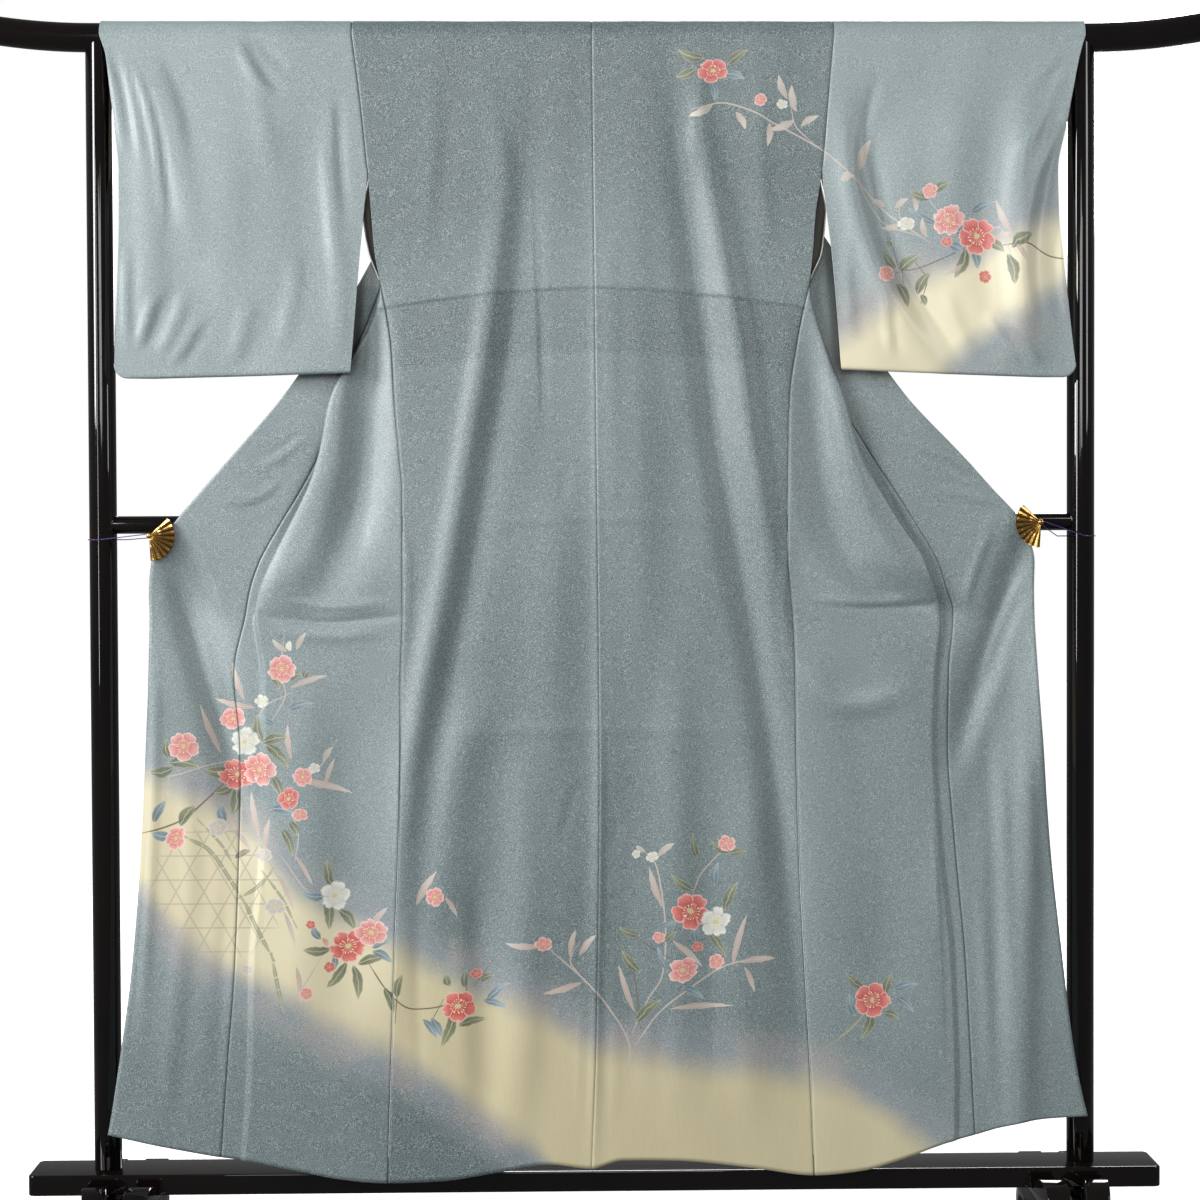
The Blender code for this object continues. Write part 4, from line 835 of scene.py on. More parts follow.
def leaf_marks(x, z, centre_x, centre_z):
    """For each corner and layer: place in the nearest leaf, in its own half length and half
    width, and kind."""
    items = np.array([(leaf.x, leaf.z, leaf.length * LEAF_LENGTH, leaf.width * LEAF_WIDTH,
                       math.radians(leaf.turn), leaf.kind) for leaf in LEAVES])
    layers = in_layers(items, lambda a, b: leaf_gap(items[a], items[b]), LEAF_LAYERS)
    for layer in range(LEAF_LAYERS):
        own = items[layers == layer]
        cos, sin = np.cos(own[:, 4]), np.sin(own[:, 4])
        dx, dz = centre_x[:, None] - own[:, 0], centre_z[:, None] - own[:, 1]
        along = np.maximum(0, abs(dx * cos + dz * sin) - (own[:, 2] - own[:, 3]) / 2)
        away = np.hypot(along, dz * cos - dx * sin) - own[:, 3] / 2
        best = away.argmin(axis=1)
        item = own[best].repeat(4, axis=0)
        cos, sin = np.cos(item[:, 4]), np.sin(item[:, 4])
        dx, dz = x - item[:, 0], z - item[:, 1]
        marks = np.stack(((dx * cos + dz * sin) * 2 / item[:, 2],
                          (dz * cos - dx * sin) * 2 / item[:, 3], item[:, 5]), axis=1)
        marks[(away.min(axis=1) > MARK_REACH).repeat(4)] = FAR, FAR, 0
        yield f"leaf_{layer}", marks


def stem_marks(x, z, centre_x, centre_z):
    """For each corner and layer: distance from the nearest stem over its half width, distance
    from its nearer end, and kind."""
    lines = []
    for stem in STEMS:
        path = pairs(stem.path)
        length = sum(math.dist(a, b) for a, b in zip(path, path[1:]))
        lines.append(curve_through(path, max(4, round(length / STEM_PIECE))))
    layers = in_layers(STEMS, lambda a, b: min(
        math.dist(p, q) for p in lines[a][0] for q in lines[b][0]) - 4, STEM_LAYERS)
    for layer in range(STEM_LAYERS):
        marks = np.full((len(x), 3), (FAR, FAR, 0.0))
        best = np.full(len(centre_x), MARK_REACH)
        for stem, (line, _), own in zip(STEMS, lines, layers):
            if own != layer:
                continue
            low, high = line.min(axis=0) - STEM_NEAR, line.max(axis=0) + STEM_NEAR
            near = ((centre_x > low[0]) & (centre_x < high[0])
                    & (centre_z > low[1]) & (centre_z < high[1]))
            if not near.any():
                continue
            away = np.full(len(centre_x), np.inf)
            away[near] = nearest_on(line, centre_x[near], centre_z[near])[2]
            closer = away < best
            best[closer] = away[closer]
            corners = closer.repeat(4)
            size = sum(math.dist(a, b) for a, b in zip(line, line[1:]))
            across, along, _ = nearest_on(line, x[corners], z[corners])
            marks[corners] = np.stack((across / stem.half, np.minimum(along, size - along),
                                       0 * along + stem.kind), axis=1)
        yield f"stem_{layer}", marks


# ---- making the pieces
def give(mesh, name, kind, domain, field, values):
    """Stores an attribute on a mesh."""
    layer = mesh.attributes.new(name, kind, domain)
    layer.data.foreach_set(field, np.ascontiguousarray(values, dtype=np.float32).ravel())


def placed(name, data):
    """An object in the scene."""
    thing = bpy.data.objects.new(name, data)
    bpy.context.collection.objects.link(thing)
    return thing


def stands_for(thing, slot, *nodes):
    """A piece that takes the place of CAD nodes."""
    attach(thing, "root")
    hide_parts(*nodes)


def cloth(name, points, side, seam, wall=WALL, closed=False, band=(BAND_TOP, BAND_FOOT),
          motifs=True, painted_light_and_shade=0, painted_shadow=0):
    """A wall of cloth on a grid of points: the outer silk, the lining and the bound edges.

    seam, the painted light and shade, and the painted shadow are values for each point; seam
    paints shade along the seams.  band is a pair of edges of the pale dyed band; a closed grid's
    last row meets its first."""
    if closed:
        points = np.concatenate((points, points[:1]))
        seam = np.concatenate((seam, seam[:1]))
    rows, columns = points.shape[:2]
    kept = ~np.isnan(points[..., 0])
    index = np.full((rows, columns), -1)
    index[kept] = np.arange(kept.sum())
    if closed:
        index[-1] = index[0]
    quads = np.stack((index[:-1, :-1], index[:-1, 1:], index[1:, 1:], index[1:, :-1]), axis=-1)
    quads = quads.reshape(-1, 4)
    quads = quads[(quads >= 0).all(axis=1)]
    if side < 0:
        quads = quads[:, ::-1]
    if closed:
        kept[-1] = False
    spots, seams = points[kept], seam[kept]
    mesh = bpy.data.meshes.new(name)
    mesh.from_pydata(spots.tolist(), [], quads.tolist())
    mesh.polygons.foreach_set("use_smooth", np.ones(len(quads), bool))
    depth = band_depth(spots[:, 0], spots[:, 2], *band) if band else -1 + 0 * seams
    for layer, values in (("seam", seams), ("band", depth), ("painted_light_and_shade", (painted_light_and_shade + 0 * seam)[kept]),
                          ("painted_shadow", (painted_shadow + 0 * seam)[kept])):
        give(mesh, layer, "FLOAT", "POINT", "value", values)
    corner = spots[quads.ravel()] * 1000
    x, z = corner[:, 0], corner[:, 2]
    centre_x, centre_z = x.reshape(-1, 4).mean(axis=1), z.reshape(-1, 4).mean(axis=1)
    for marks in (bloom_marks, leaf_marks, stem_marks):
        for layer, values in marks(x, z, centre_x, centre_z):
            if not motifs:
                values[:] = FAR, FAR, 0
            give(mesh, layer, "FLOAT_VECTOR", "CORNER", "vector", values)
    thing = placed(name, mesh)
    for surface in (SILK, LINING, BINDING):
        mesh.materials.append(surface)
    shell = thing.modifiers.new("wall", "SOLIDIFY")
    shell.thickness = wall
    shell.offset = 0.0
    shell.material_offset = 1
    shell.material_offset_rim = 2
    return thing


def under_sleeve(side, across, height):
    """How far a place on the fronts lies in the sleeve's shade, 0 to 1."""
    hidden = column(SLEEVES[side], "inner", height) - SHADE_REACH
    shade = past(across, hidden, SHADE_REACH)
    return shade * past(height, *SHADE_FOOT) * short_of(height, *SHADE_TOP)


def body_painted_light(side, points, bar_row, front_row):
    """How light a body's silk is painted, as painted light and shade: back, then from bar_row the
    shoulder, then the front.
    """
    painted_light_and_shade = np.zeros(points.shape[:2])
    painted_light_and_shade[front_row:] = FRONT_PAINTED_LIGHT
    across, height = np.abs(points[:bar_row, :, 0]), points[:bar_row, :, 2]
    below = read(TUCK_LINE, points[:bar_row, :, 0]) - height
    upper, lower = TUCK_EDGES
    strip = TUCK_TONE * ease(below / upper + .5) * ease((TUCK_DEPTH - below) / lower + .5)
    painted_light_and_shade[:bar_row] = -strip - LOW_TONE * short_of(height, *LOW_DARK)
    dim = SIDE_PAINTED_SHADE * past(across, *SIDE_DARK[side]) * past(height, *SIDE_LEVEL)
    dim += UPPER_PAINTED_SHADE * past(height, *UPPER_LEVEL)
    painted_light_and_shade[:bar_row] -= dim * short_of(height, *DIM_TOP)
    painted_light_and_shade[:front_row] -= TOP_PAINTED_SHADE * past(points[:front_row, :, 2], *TOP_DARK)
    return painted_light_and_shade - HEM_PAINTED_SHADE[side] * short_of(np.nan_to_num(points[..., 2]), *HEM_DARK)


def body_panel(side):
    """Back, shoulder and front of one half, in one length of cloth."""
    heights = rows_between(BODY_STOPS)
    height = heights[:, None]
    shoulder = float(column(WIDTHS[side], "side", BAR_HEIGHT))
    outer = shoulder - NECK_HALF
    top = np.sort(np.concatenate((np.linspace(0, outer, FRONT_COLUMNS + 1), EDGE_STEPS,
                                  outer - np.array(EDGE_STEPS))))
    neck = np.concatenate(((0.0,), EDGE_STEPS, np.linspace(
        2 * EDGE_STEPS[-1], NECK_HALF, NECK_COLUMNS)[:-1]))
    share = np.concatenate((neck, shoulder - top[::-1])) / shoulder
    edge = column(WIDTHS[side], "side", height) - SEAT_GAP
    across = SEAT_GAP / 2 + share * (edge - SEAT_GAP / 2)
    x = side * across + read(CENTRE_LINE, height) * (1 - share)
    turned = groove(across) + groove(edge - across) * side_sewn(height)
    back = place_body(x, back_depth(height) + turned, height)
    # how near each seam lies, for the shade painted along it
    seams = [(turned - groove(across) * CENTRE_PALE) / GROOVE]

    turns = np.linspace(0, math.pi, BAR_STEPS + 1)[1:, None]
    x = side * (SEAT_GAP / 2 + share * (shoulder - SEAT_GAP)) + 0 * turns
    turned = groove(abs(x)) + groove(shoulder - abs(x))
    rise = relief(x, BAR_HEIGHT + 0 * x) * (1 - ease(turns / OVER_RELIEF))
    radius = HANG_RADIUS - turned + rise
    over = np.stack((x, -radius * np.cos(turns), BAR_HEIGHT + radius * np.sin(turns)), axis=-1)
    open_neck = (np.arange(len(share)) < len(neck)) & (turns > NECK_ANGLE)
    over[open_neck] = np.nan
    seams.append(turned / GROOVE)

    height = heights[-2::-1, None]
    pleat = pleat_at(side, height)
    stations, first, second, whole = front_stations(pleat, height)
    stations = stations[:, ::-1]
    across, depth = front_points(pleat, stations, whole)
    deep = ease((stations - first) / (second - first))
    deep = deep * short_of(height, FOLDS_START, FOLDS_GROW)
    facing = 1 - 2 * past(height, SLIT_END, SLIT_TOP - SLIT_END)
    collared = 1 - 2 * past(height, COLLAR_TURN, COLLAR_GROW)
    side_turn = groove(stations) * side_sewn(height)
    gore_turn = groove(whole - stations)
    front = place_body(side * across, depth + side_turn * facing + gore_turn * collared, height,
                       deep)
    gone = np.full((len(front), len(neck), 3), np.nan)
    front = np.concatenate((gone, front), axis=1)
    seams.append(np.concatenate((np.zeros(gone.shape[:2]), (side_turn + gore_turn) / GROOVE),
                                axis=1))
    points = np.concatenate((back, over, front))

    front_row = len(back) + len(over)
    # painted shadow: inside the open slit, and on the fronts beside the sleeve
    painted_shadow = np.zeros(points.shape[:2])
    foot_of_slit, top_of_slit = SLIT_SHADE
    inside = past(height, foot_of_slit, SLIT_SHADE_FADE)
    inside = inside * short_of(height, top_of_slit, SLIT_SHADE_FADE)
    rim = past(across - column(WIDTHS[side], "side", height), *SLIT_SHADE_RIM)
    painted_shadow[front_row:, len(neck):] = (
        inside * rim - under_sleeve(side, across, height) * (height < foot_of_slit))
    name = SIDE_NAMES[side]
    panel = cloth(f"body_{name}_silk", points, side, np.concatenate(seams),
                  painted_light_and_shade=body_painted_light(side, points, len(back), front_row), painted_shadow=painted_shadow)
    stands_for(panel, "silk", f"body_{name}")


def gore_panel(side):
    """The gore, from its point at the collar to the hem, outside the front's seam."""
    heights = rows_between(BODY_STOPS)
    height = heights[heights <= SLIT_TOP][:, None]
    pleat = pleat_at(side, height)
    start = pleat.seam + SEAT_GAP
    edge = column(WIDTHS[side], "edge", height)
    steps = np.array(EDGE_STEPS)
    share = np.linspace(0, 1, GORE_COLUMNS + 1)
    wide = edge - start
    spots = np.sort(np.concatenate((share * wide, np.minimum(steps, wide / 2)), axis=1), axis=1)
    turned = groove(spots)
    points = place_body(side * (start + spots), pleat.deep + turned, height, 1.0)
    name = SIDE_NAMES[side]
    # the gore's silk is painted lighter as light and sheen, darker toward the hem as shade, and
    # painted with the sleeve's shadow beside it
    panel = cloth(f"gore_{name}_silk", points, side, turned / GROOVE,
                  painted_light_and_shade=GORE_PAINTED_LIGHT[side] - HEM_PAINTED_SHADE[side] * short_of(height, *HEM_DARK),
                  painted_shadow=-under_sleeve(side, start + spots, height))
    stands_for(panel, "silk", f"gore_{name}")


def sleeve_bottom(side, x, outer):
    """Height of the sleeve's lower edge, with its rounded corner under the cuff."""
    inner_z, outer_z = SLEEVE_SAG[side]
    inner = SLEEVES[side][-1].inner
    share = np.clip((abs(x) - inner) / (outer - inner), 0, 1)
    into = np.maximum(0.0, abs(x) - (outer - SLEEVE_CORNER))
    corner = SLEEVE_CORNER - np.sqrt(np.maximum(0.0, SLEEVE_CORNER ** 2 - into ** 2))
    return inner_z + (outer_z - inner_z) * share + corner


def sleeve_layer(side, share, height, far):
    """The near or far layer; share runs from the body to the cuff."""
    table = SLEEVES[side]
    sewn_on = height >= SLIT_TOP
    inner = np.where(sewn_on, column(WIDTHS[side], "side", height),
                     column(table, "inner", height))
    inset = FAR_INSET * short_of(height, SLIT_TOP, CUFF_GROW) if far else SEAT_GAP
    inner = inner + np.where(sewn_on, SEAT_GAP, inset)
    outer = column(table, "far" if far else "outer", height)
    x = side * (inner + (outer - inner) * share)
    fade = np.clip(1 - (height - SLEEVE_BOTTOM) / SAG_REACH, 0, 1) ** 2
    z = height + (sleeve_bottom(side, x, outer) - SLEEVE_BOTTOM) * fade
    depth = back_depth(height) + 0 * x
    if far:
        gap = under_depth(height, FULL_OVERLAP) - depth
        gap = gap + (SLEEVE_FOLD - gap) * np.clip(1 - (height - SLEEVE_BOTTOM) / FOLD_CLOSE, 0, 1)
        sewn = short_of(height, CUFF_END + CUFF_GROW, CUFF_GROW)
        sewn = sewn * ease((share - 1 + CUFF_SHARE) / CUFF_SHARE)
        depth = depth + gap + (CUFF_PINCH - gap) * sewn
    full, ended = FORWARD_ACROSS
    forward = SLEEVE_FORWARD * short_of(height, FORWARD_TOP, FORWARD_DROP)
    forward = forward * short_of(abs(x), ended, ended - full)
    turned = groove(abs(x) - inner) * past(height, SLIT_TOP, SEAM_FADE)
    forward = forward + turned * (1 if far else -1)
    rise = fold_rise(SLEEVE_FOLDS, x, z) + crease_rise(SLEEVE_CREASES, x, z) + ripple(x, z)
    return np.stack((x, depth - forward - rise, z), axis=-1), turned / GROOVE


def sleeve(side):
    """One length of cloth over the bar, sewn to the body at the top of its inner edge."""
    height = rows_between(SLEEVE_STOPS)[:, None]
    even = np.linspace(0, 1, SLEEVE_COLUMNS + 1)
    width = SLEEVES[side][0].outer - SLEEVES[side][0].inner
    steps = np.array(EDGE_STEPS) / width
    share = even + (ease(even) - even) * SLEEVE_GATHER
    share = np.sort(np.concatenate((share, steps, 1 - steps)))
    near, near_seam = sleeve_layer(side, share, height, False)
    far, far_seam = sleeve_layer(side, share, height[::-1], True)
    turns = np.linspace(0, math.pi, BAR_STEPS + 1)[1:-1, None]
    x = near[-1, :, 0] + (far[0, :, 0] - near[-1, :, 0]) * ease(turns / math.pi * 1.5 - .5)
    rise = -HANG_RADIUS - near[-1, :, 1]
    radius = HANG_RADIUS + rise * (1 - ease(turns / OVER_RELIEF))
    over = np.stack((x, -radius * np.cos(turns), BAR_HEIGHT + radius * np.sin(turns)), axis=-1)
    over_seam = near_seam[-1] + 0 * turns
    swing = np.linspace(0, math.pi, SLEEVE_TURN + 2)[1:-1, None, None]
    middle = (far[-1] + near[0]) / 2
    half = (far[-1] - near[0]) / 2
    drop = np.zeros_like(half)
    drop[:, 2] = -half[:, 1]
    fold = middle + half * np.cos(swing) + drop * np.sin(swing)
    fold_seam = 0 * swing[..., 0] + 0 * share
    band = (SLEEVE_BAND_TOP, SLEEVE_BAND_FOOT) if side > 0 else None
    name = SIDE_NAMES[side]
    # the sleeve's silk is painted lighter, as painted light and sheen
    panel = cloth(f"sleeve_{name}_silk", np.concatenate((near, over, far, fold)), side,
                  np.concatenate((near_seam, over_seam, far_seam, fold_seam)), closed=True,
                  band=band, painted_light_and_shade=SLEEVE_PAINTED_LIGHT[side])
    stands_for(panel, "silk", f"sleeve_{name}")


def collar_line(end):
    """The collar's seam from one end, round the neck, to the other."""
    coarse = []
    for side in (-1, 1):
        half = []
        for height in np.arange(end, *COLLAR_HEIGHTS):
            name = "edge" if height < SLIT_TOP else "seam"
            half.append((side * float(column(WIDTHS[side], name, height)), height))
        coarse.append(half + [(side * x, z) for x, z in NECK_LINE])
    path = np.array(coarse[0] + [NECK_TOP] + coarse[1][::-1])
    length = np.concatenate(([0], np.cumsum(np.hypot(*np.diff(path, axis=0).T))))
    spots = np.linspace(0, length[-1], round(length[-1] / COLLAR_STEP))
    return np.stack([read(list(zip(length, values)), spots) for values in path.T], axis=1)


def collar_depth(x, z):
    """Depth of the fronts' far layer, and over the bar of the cloth round it."""
    low = np.minimum(z, BAR_HEIGHT)[..., None]
    deep = np.where(x < 0, pleat_at(-1, low).deep[..., 0], pleat_at(1, low).deep[..., 0])
    round_bar = np.sqrt(np.maximum(1e-6, HANG_RADIUS ** 2 - (z - BAR_HEIGHT) ** 2))
    return np.where(z > BAR_HEIGHT, round_bar, deep)


def collar_band(name, end, inset, lift, wall):
    """A strip folded to the far side of the fronts."""
    line = collar_line(end)
    run = np.gradient(line, axis=0)
    run /= np.hypot(*run.T)[:, None]
    share = np.linspace(0, 1, COLLAR_COLUMNS + 1)
    reach = inset + (COLLAR_WIDTH - 2 * inset) * share
    x = line[:, :1] + run[:, 1:] * reach
    z = line[:, 1:] - run[:, :1] * reach
    away = lift + COLLAR_FLARE * reach / COLLAR_WIDTH
    deep = short_of(z, FOLDS_START, FOLDS_GROW)
    points = np.stack((x, collar_depth(x, z) + away - relief(x, z, deep), z), axis=-1)
    thing = cloth(f"{name}_silk", points, -1, np.zeros(x.shape), wall=wall, motifs=False,
                  band=None)
    stands_for(thing, "silk", name)


# ---- finishes
def tint(red, green, blue):
    """A colour given as it looks on a screen, 0 to 255."""
    return tuple((c / 255 / 12.92 if c < 11 else ((c / 255 + .055) / 1.055) ** 2.4)
                 for c in (red, green, blue)) + (1.0,)


class Value:
    """A number, colour or place that a finish works with."""

    def __init__(self, finish, socket):
        self.finish = finish
        self.socket = socket

    def math(self, operation, *others):
        return self.finish.math(operation, self, *others)

    def worked(operation):
        return lambda self, other: self.math(operation, other)

    def reflected(operation):
        return lambda self, other: self.finish.math(operation, other, self)

    __add__, __radd__ = worked("ADD"), reflected("ADD")
    __sub__, __rsub__ = worked("SUBTRACT"), reflected("SUBTRACT")
    __mul__, __rmul__ = worked("MULTIPLY"), reflected("MULTIPLY")
    __truediv__, __pow__ = worked("DIVIDE"), worked("POWER")

    def __abs__(self):
        return self.math("ABSOLUTE")

    def step(self, low, high):
        """0 below low, 1 above high, soft between; low may be the larger."""
        return self.finish.node(
            "ShaderNodeMapRange", {"interpolation_type": "SMOOTHSTEP"},
            {"Value": self, "From Min": low, "From Max": high, "To Min": 0.0, "To Max": 1.0})

    def parts(self):
        """The three numbers of a place."""
        return [self.finish.node("ShaderNodeSeparateXYZ", {}, {"Vector": self}, name)
                for name in "XYZ"]


class Finish:
    """A material: a principled shader and the nodes that feed it."""

    def __init__(self, name, **constants):
        self.material = bpy.data.materials.new(name)
        self.material.use_nodes = True
        self.tree = self.material.node_tree
        self.tree.nodes.clear()
        self.shader = self.tree.nodes.new("ShaderNodeBsdfPrincipled")
        end = self.tree.nodes.new("ShaderNodeOutputMaterial")
        self.tree.links.new(self.shader.outputs[0], end.inputs["Surface"])
        for socket, value in constants.items():
            self.shader.inputs[socket.replace("_", " ")].default_value = value

    def put(self, socket, value):
        """Links a value to a socket, or sets a plain number or colour."""
        if isinstance(value, Value):
            self.tree.links.new(value.socket, socket)
        else:
            socket.default_value = value

    def node(self, kind, settings, inputs, output=0):
        """A node by its type, with its settings first and then its inputs."""
        made = self.tree.nodes.new(kind)
        for name, value in settings.items():
            setattr(made, name, value)
        for name, value in inputs.items():
            self.put(made.inputs[name], value)
        return Value(self, made.outputs[output])

    def math(self, operation, *values):
        return self.node("ShaderNodeMath", {"operation": operation}, dict(enumerate(values)))

    def mix(self, factor, first, second):
        """A colour between two, at 0 the first."""
        return self.node("ShaderNodeMix", {"data_type": "RGBA"},
                         {0: factor, 6: first, 7: second}, 2)

    def place(self):
        return self.node("ShaderNodeTexCoord", {}, {}, "Object")

    def stored(self, name, output="Fac"):
        """An attribute of the piece's mesh."""
        return self.node("ShaderNodeAttribute", {"attribute_name": name}, {}, output)

    def noise(self, where, scale, detail=2.0, rough=.5, output=0):
        return self.node("ShaderNodeTexNoise", {}, {"Vector": where, "Scale": scale,
                                                    "Detail": detail, "Roughness": rough}, output)

    def stretched(self, where, scale):
        return self.node("ShaderNodeMapping", {}, {"Vector": where, "Scale": scale})

    def choose(self, kind, colours):
        """A colour by kind, 1 the first."""
        colours = [tint(*colour) for colour in colours]
        made = self.tree.nodes.new("ShaderNodeValToRGB")
        made.color_ramp.interpolation = "CONSTANT"
        stops = made.color_ramp.elements
        while len(stops) > 1:
            stops.remove(stops[-1])
        stops[0].position = 0.0
        stops[0].color = colours[0]
        for index, colour in enumerate(colours[1:], 2):
            stops.new((index - .5) / 10).color = colour
        self.put(made.inputs[0], kind / 10)
        return Value(self, made.outputs[0])

    def surface(self, bump=None, height=.0005, strength=1.0, **inputs):
        """Feeds the shader, and gives the finished material."""
        for socket, value in inputs.items():
            self.put(self.shader.inputs[socket.replace("_", " ")], value)
        if bump:
            normal = self.node("ShaderNodeBump", {}, {"Height": bump, "Distance": height,
                                                      "Strength": strength})
            self.put(self.shader.inputs["Normal"], normal)
        return self.material


def draw_bloom(silk, colour, spot, wobble):
    """Five broad notched petals, pale at their edges, round a cream heart with stamens."""
    u, v, kind = spot.parts()
    u, v = u + wobble, v - wobble
    radius = (u * u + v * v).math("SQRT")
    turn = v.math("ARCTAN2", u) * (5 / math.tau)
    share = turn.math("FRACT")
    across = abs(share - .5) * 2
    rim = .99 - across ** 2.6 * .22 - across.step(.20, .0) * .07 - radius
    mask = rim.step(0, .05)
    deep = silk.choose(
        kind, ((198, 70, 68), (212, 118, 114), (206, 206, 196), (184, 178, 172)))
    light = silk.choose(
        kind, ((228, 138, 126), (234, 186, 178), (236, 235, 226), (206, 200, 194)))
    edge = silk.choose(
        kind, ((238, 200, 188), (242, 220, 212), (176, 182, 176), (220, 214, 206)))
    petal = silk.mix(radius.step(1.0, .40), light, deep)
    petal = silk.mix(share.step(.55, .95) * .55, petal, deep)
    veins = abs((turn * 7).math("FRACT") - .5).step(.16, .04) * radius.step(.35, .6)
    lines = (rim.step(.12, .06) + across.step(.90, .97) * radius.step(.25, .40)
             + veins * rim.step(.1, .3) * .28)
    petal = silk.mix(lines.math("MINIMUM", 1.0) * .8, petal, edge)
    spoke = abs((turn * 3).math("FRACT") - .5)
    rays = spoke.step(.16, .06) * radius.step(.12, .15) * radius.step(.38, .34)
    tips = spoke.step(.24, .12) * abs(radius - .40).step(.05, .03)
    petal = silk.mix((rays * .7 + tips).math("MINIMUM", 1.0), petal, tint(240, 230, 190))
    petal = silk.mix(radius.step(.17, .12), petal, tint(206, 196, 142))
    return silk.mix(mask * .95, colour, petal)


def draw_leaf(silk, colour, spot, wobble):
    """A pointed oval, bent a little, with a midrib and a pale edge."""
    u, v, kind = spot.parts()
    bent = v + u * u * .42 - .15 + wobble * 1.5
    wide = (1 - u * u).math("MAXIMUM", .0) ** .85
    wide = wide * (.86 - u * .16)
    inside = wide - abs(bent)
    mask = inside.step(0, .13) * abs(u).step(1.0, .97)
    base = silk.choose(kind, (
        (84, 92, 66), (84, 110, 128), (184, 162, 153), (196, 130, 122), (186, 172, 163),
        (128, 108, 88), (226, 224, 210)))
    tip = silk.choose(kind, (
        (128, 134, 100), (132, 158, 172), (208, 190, 182), (220, 176, 166), (210, 198, 188),
        (152, 132, 108), (240, 238, 228)))
    blade = silk.mix(u.step(-.8, .9), base, tip)
    veins = abs((u * 4.2 - abs(bent) * 2.2).math("FRACT") - .5).step(.10, .02) * .35
    lines = (abs(bent).step(.12, .04) * .8 + inside.step(.24, .12) * .55
             + veins * (1 - abs(u))).math("MINIMUM", 1.0)
    blade = silk.mix(lines * .65, blade, tint(206, 208, 186))
    return silk.mix(mask * .90, colour, blade)


def draw_stem(silk, colour, spot):
    """A fine stem that thins to its ends; canes are cut into lengths."""
    across, near_end, kind = spot.parts()
    cane = kind.step(2.4, 2.6) * kind.step(3.6, 3.4)
    taper = near_end.step(0, 16) * .5 + .5
    mask = (taper - abs(across)).step(-.35, .35) * kind.step(.4, .6)
    joints = (near_end / 21).math("FRACT").step(.04, .12)
    mask = mask * (1 - cane * (1 - joints))
    line = silk.choose(
        kind, ((194, 182, 172), (112, 92, 76), (168, 170, 140), (184, 170, 128)))
    line = silk.mix(cane * abs(across).step(.35, .7) * .8, line, tint(112, 116, 98))
    return silk.mix(mask * .9, colour, line)


def basket(across, up):
    """A round piece of basket lattice, its canes in three directions."""
    centre_x, centre_z, canes_apart = -.520, .500, .033
    x, z = across - centre_x, up - centre_z
    inside = (x * x + z * z).math("SQRT").step(.105, .080)
    canes = []
    for turn in (0, 60, 120):
        cos, sin = math.cos(math.radians(turn)), math.sin(math.radians(turn))
        middle = abs(((x * sin + z * cos) / canes_apart).math("FRACT") - .5)
        canes.append(middle.step(.045, .015))
    first, second, third = canes
    return first.math("MAXIMUM", second).math("MAXIMUM", third) * inside


def crepe_silk():
    """Dusty blue figured crepe with a dyed band and a painted pattern."""
    silk = Finish("crepe_silk", Sheen_Weight=.35, Sheen_Roughness=.35, IOR=1.62,
                  Sheen_Tint=tint(226, 234, 236))
    place = silk.place()
    across, _, up = place.parts()
    cloud = silk.noise(silk.stretched(place, (3.2, 3.2, 1.6)), 1.0, 3.0)
    # the ground: random cloudy tone, with the painted light and shade of each place on top
    shade = cloud.step(.35, .65) * .4 + silk.stored("painted_light_and_shade") * .6
    ground = silk.mix((shade + .4) / 1.4, tint(74, 91, 94), tint(137, 151, 153))
    band = silk.stored("band") + (silk.noise(place, 26.0, 2.0) - .5) * .018
    cream = band.step(-.018, .028)
    fringe = band.step(-.066, -.006)
    plain = silk.noise(silk.stretched(place, (900, 40, 60)), 1.0, 2.0)
    flecks = silk.noise(silk.stretched(place, (1.15, 1.0, .9)), 1000.0, 1.0, .4)
    crinkle = flecks.step(.52, .60)
    ground = silk.mix(crinkle * .48, ground, tint(184, 197, 197))
    ground = silk.mix(flecks.step(.44, .32) * .32, ground, tint(92, 110, 114))
    blush = silk.noise(place, 12.0, 1.0).step(.42, .60)
    hem_tone = silk.mix(blush, tint(148, 154, 161), tint(178, 169, 165))
    hem_tone = silk.mix(crinkle * .25, hem_tone, tint(206, 204, 206))
    colour = silk.mix(fringe * .56, ground, hem_tone)
    # the cream band takes the same painted light and shade
    ivory = silk.mix(silk.stored("painted_light_and_shade").step(-.2, 1.0), tint(202, 192, 154), tint(234, 226, 193))
    ivory = silk.mix(plain.step(.30, .70) * .09, ivory, tint(244, 238, 214))
    colour = silk.mix(cream * .95, colour, ivory)

    lattice = basket(across, up) * band.step(-.02, .01)
    colour = silk.mix(lattice * .55, colour, tint(166, 158, 148))

    figured = 1 - cream * .85
    wobble = (silk.noise(place, 110.0, 1.0) - .5) * .34
    for layer in range(STEM_LAYERS):
        colour = draw_stem(silk, colour, silk.stored(f"stem_{layer}", "Vector"))
    for layer in range(LEAF_LAYERS):
        colour = draw_leaf(silk, colour, silk.stored(f"leaf_{layer}", "Vector"), wobble)
    for layer in range(BLOOM_LAYERS):
        colour = draw_bloom(silk, colour, silk.stored(f"bloom_{layer}", "Vector"), wobble)
    colour = silk.mix(crinkle * figured * .14, colour, tint(224, 226, 224))
    # painted shade in the grooves along the seams
    sewn = silk.stored("seam").step(.25, .9)
    colour = silk.mix(sewn * .72, colour, tint(46, 62, 68))
    # painted shadow on the fronts and gores beside the sleeves
    colour = silk.mix(silk.stored("painted_shadow").step(0, -1) * .86, colour, tint(26, 34, 34))
    weave = silk.noise(place, 1500.0, 1.0)
    height = flecks * figured + weave * .25
    return silk.surface(Base_Color=colour, Roughness=.31 + flecks * .16, bump=height,
                        height=.0006, strength=.38)


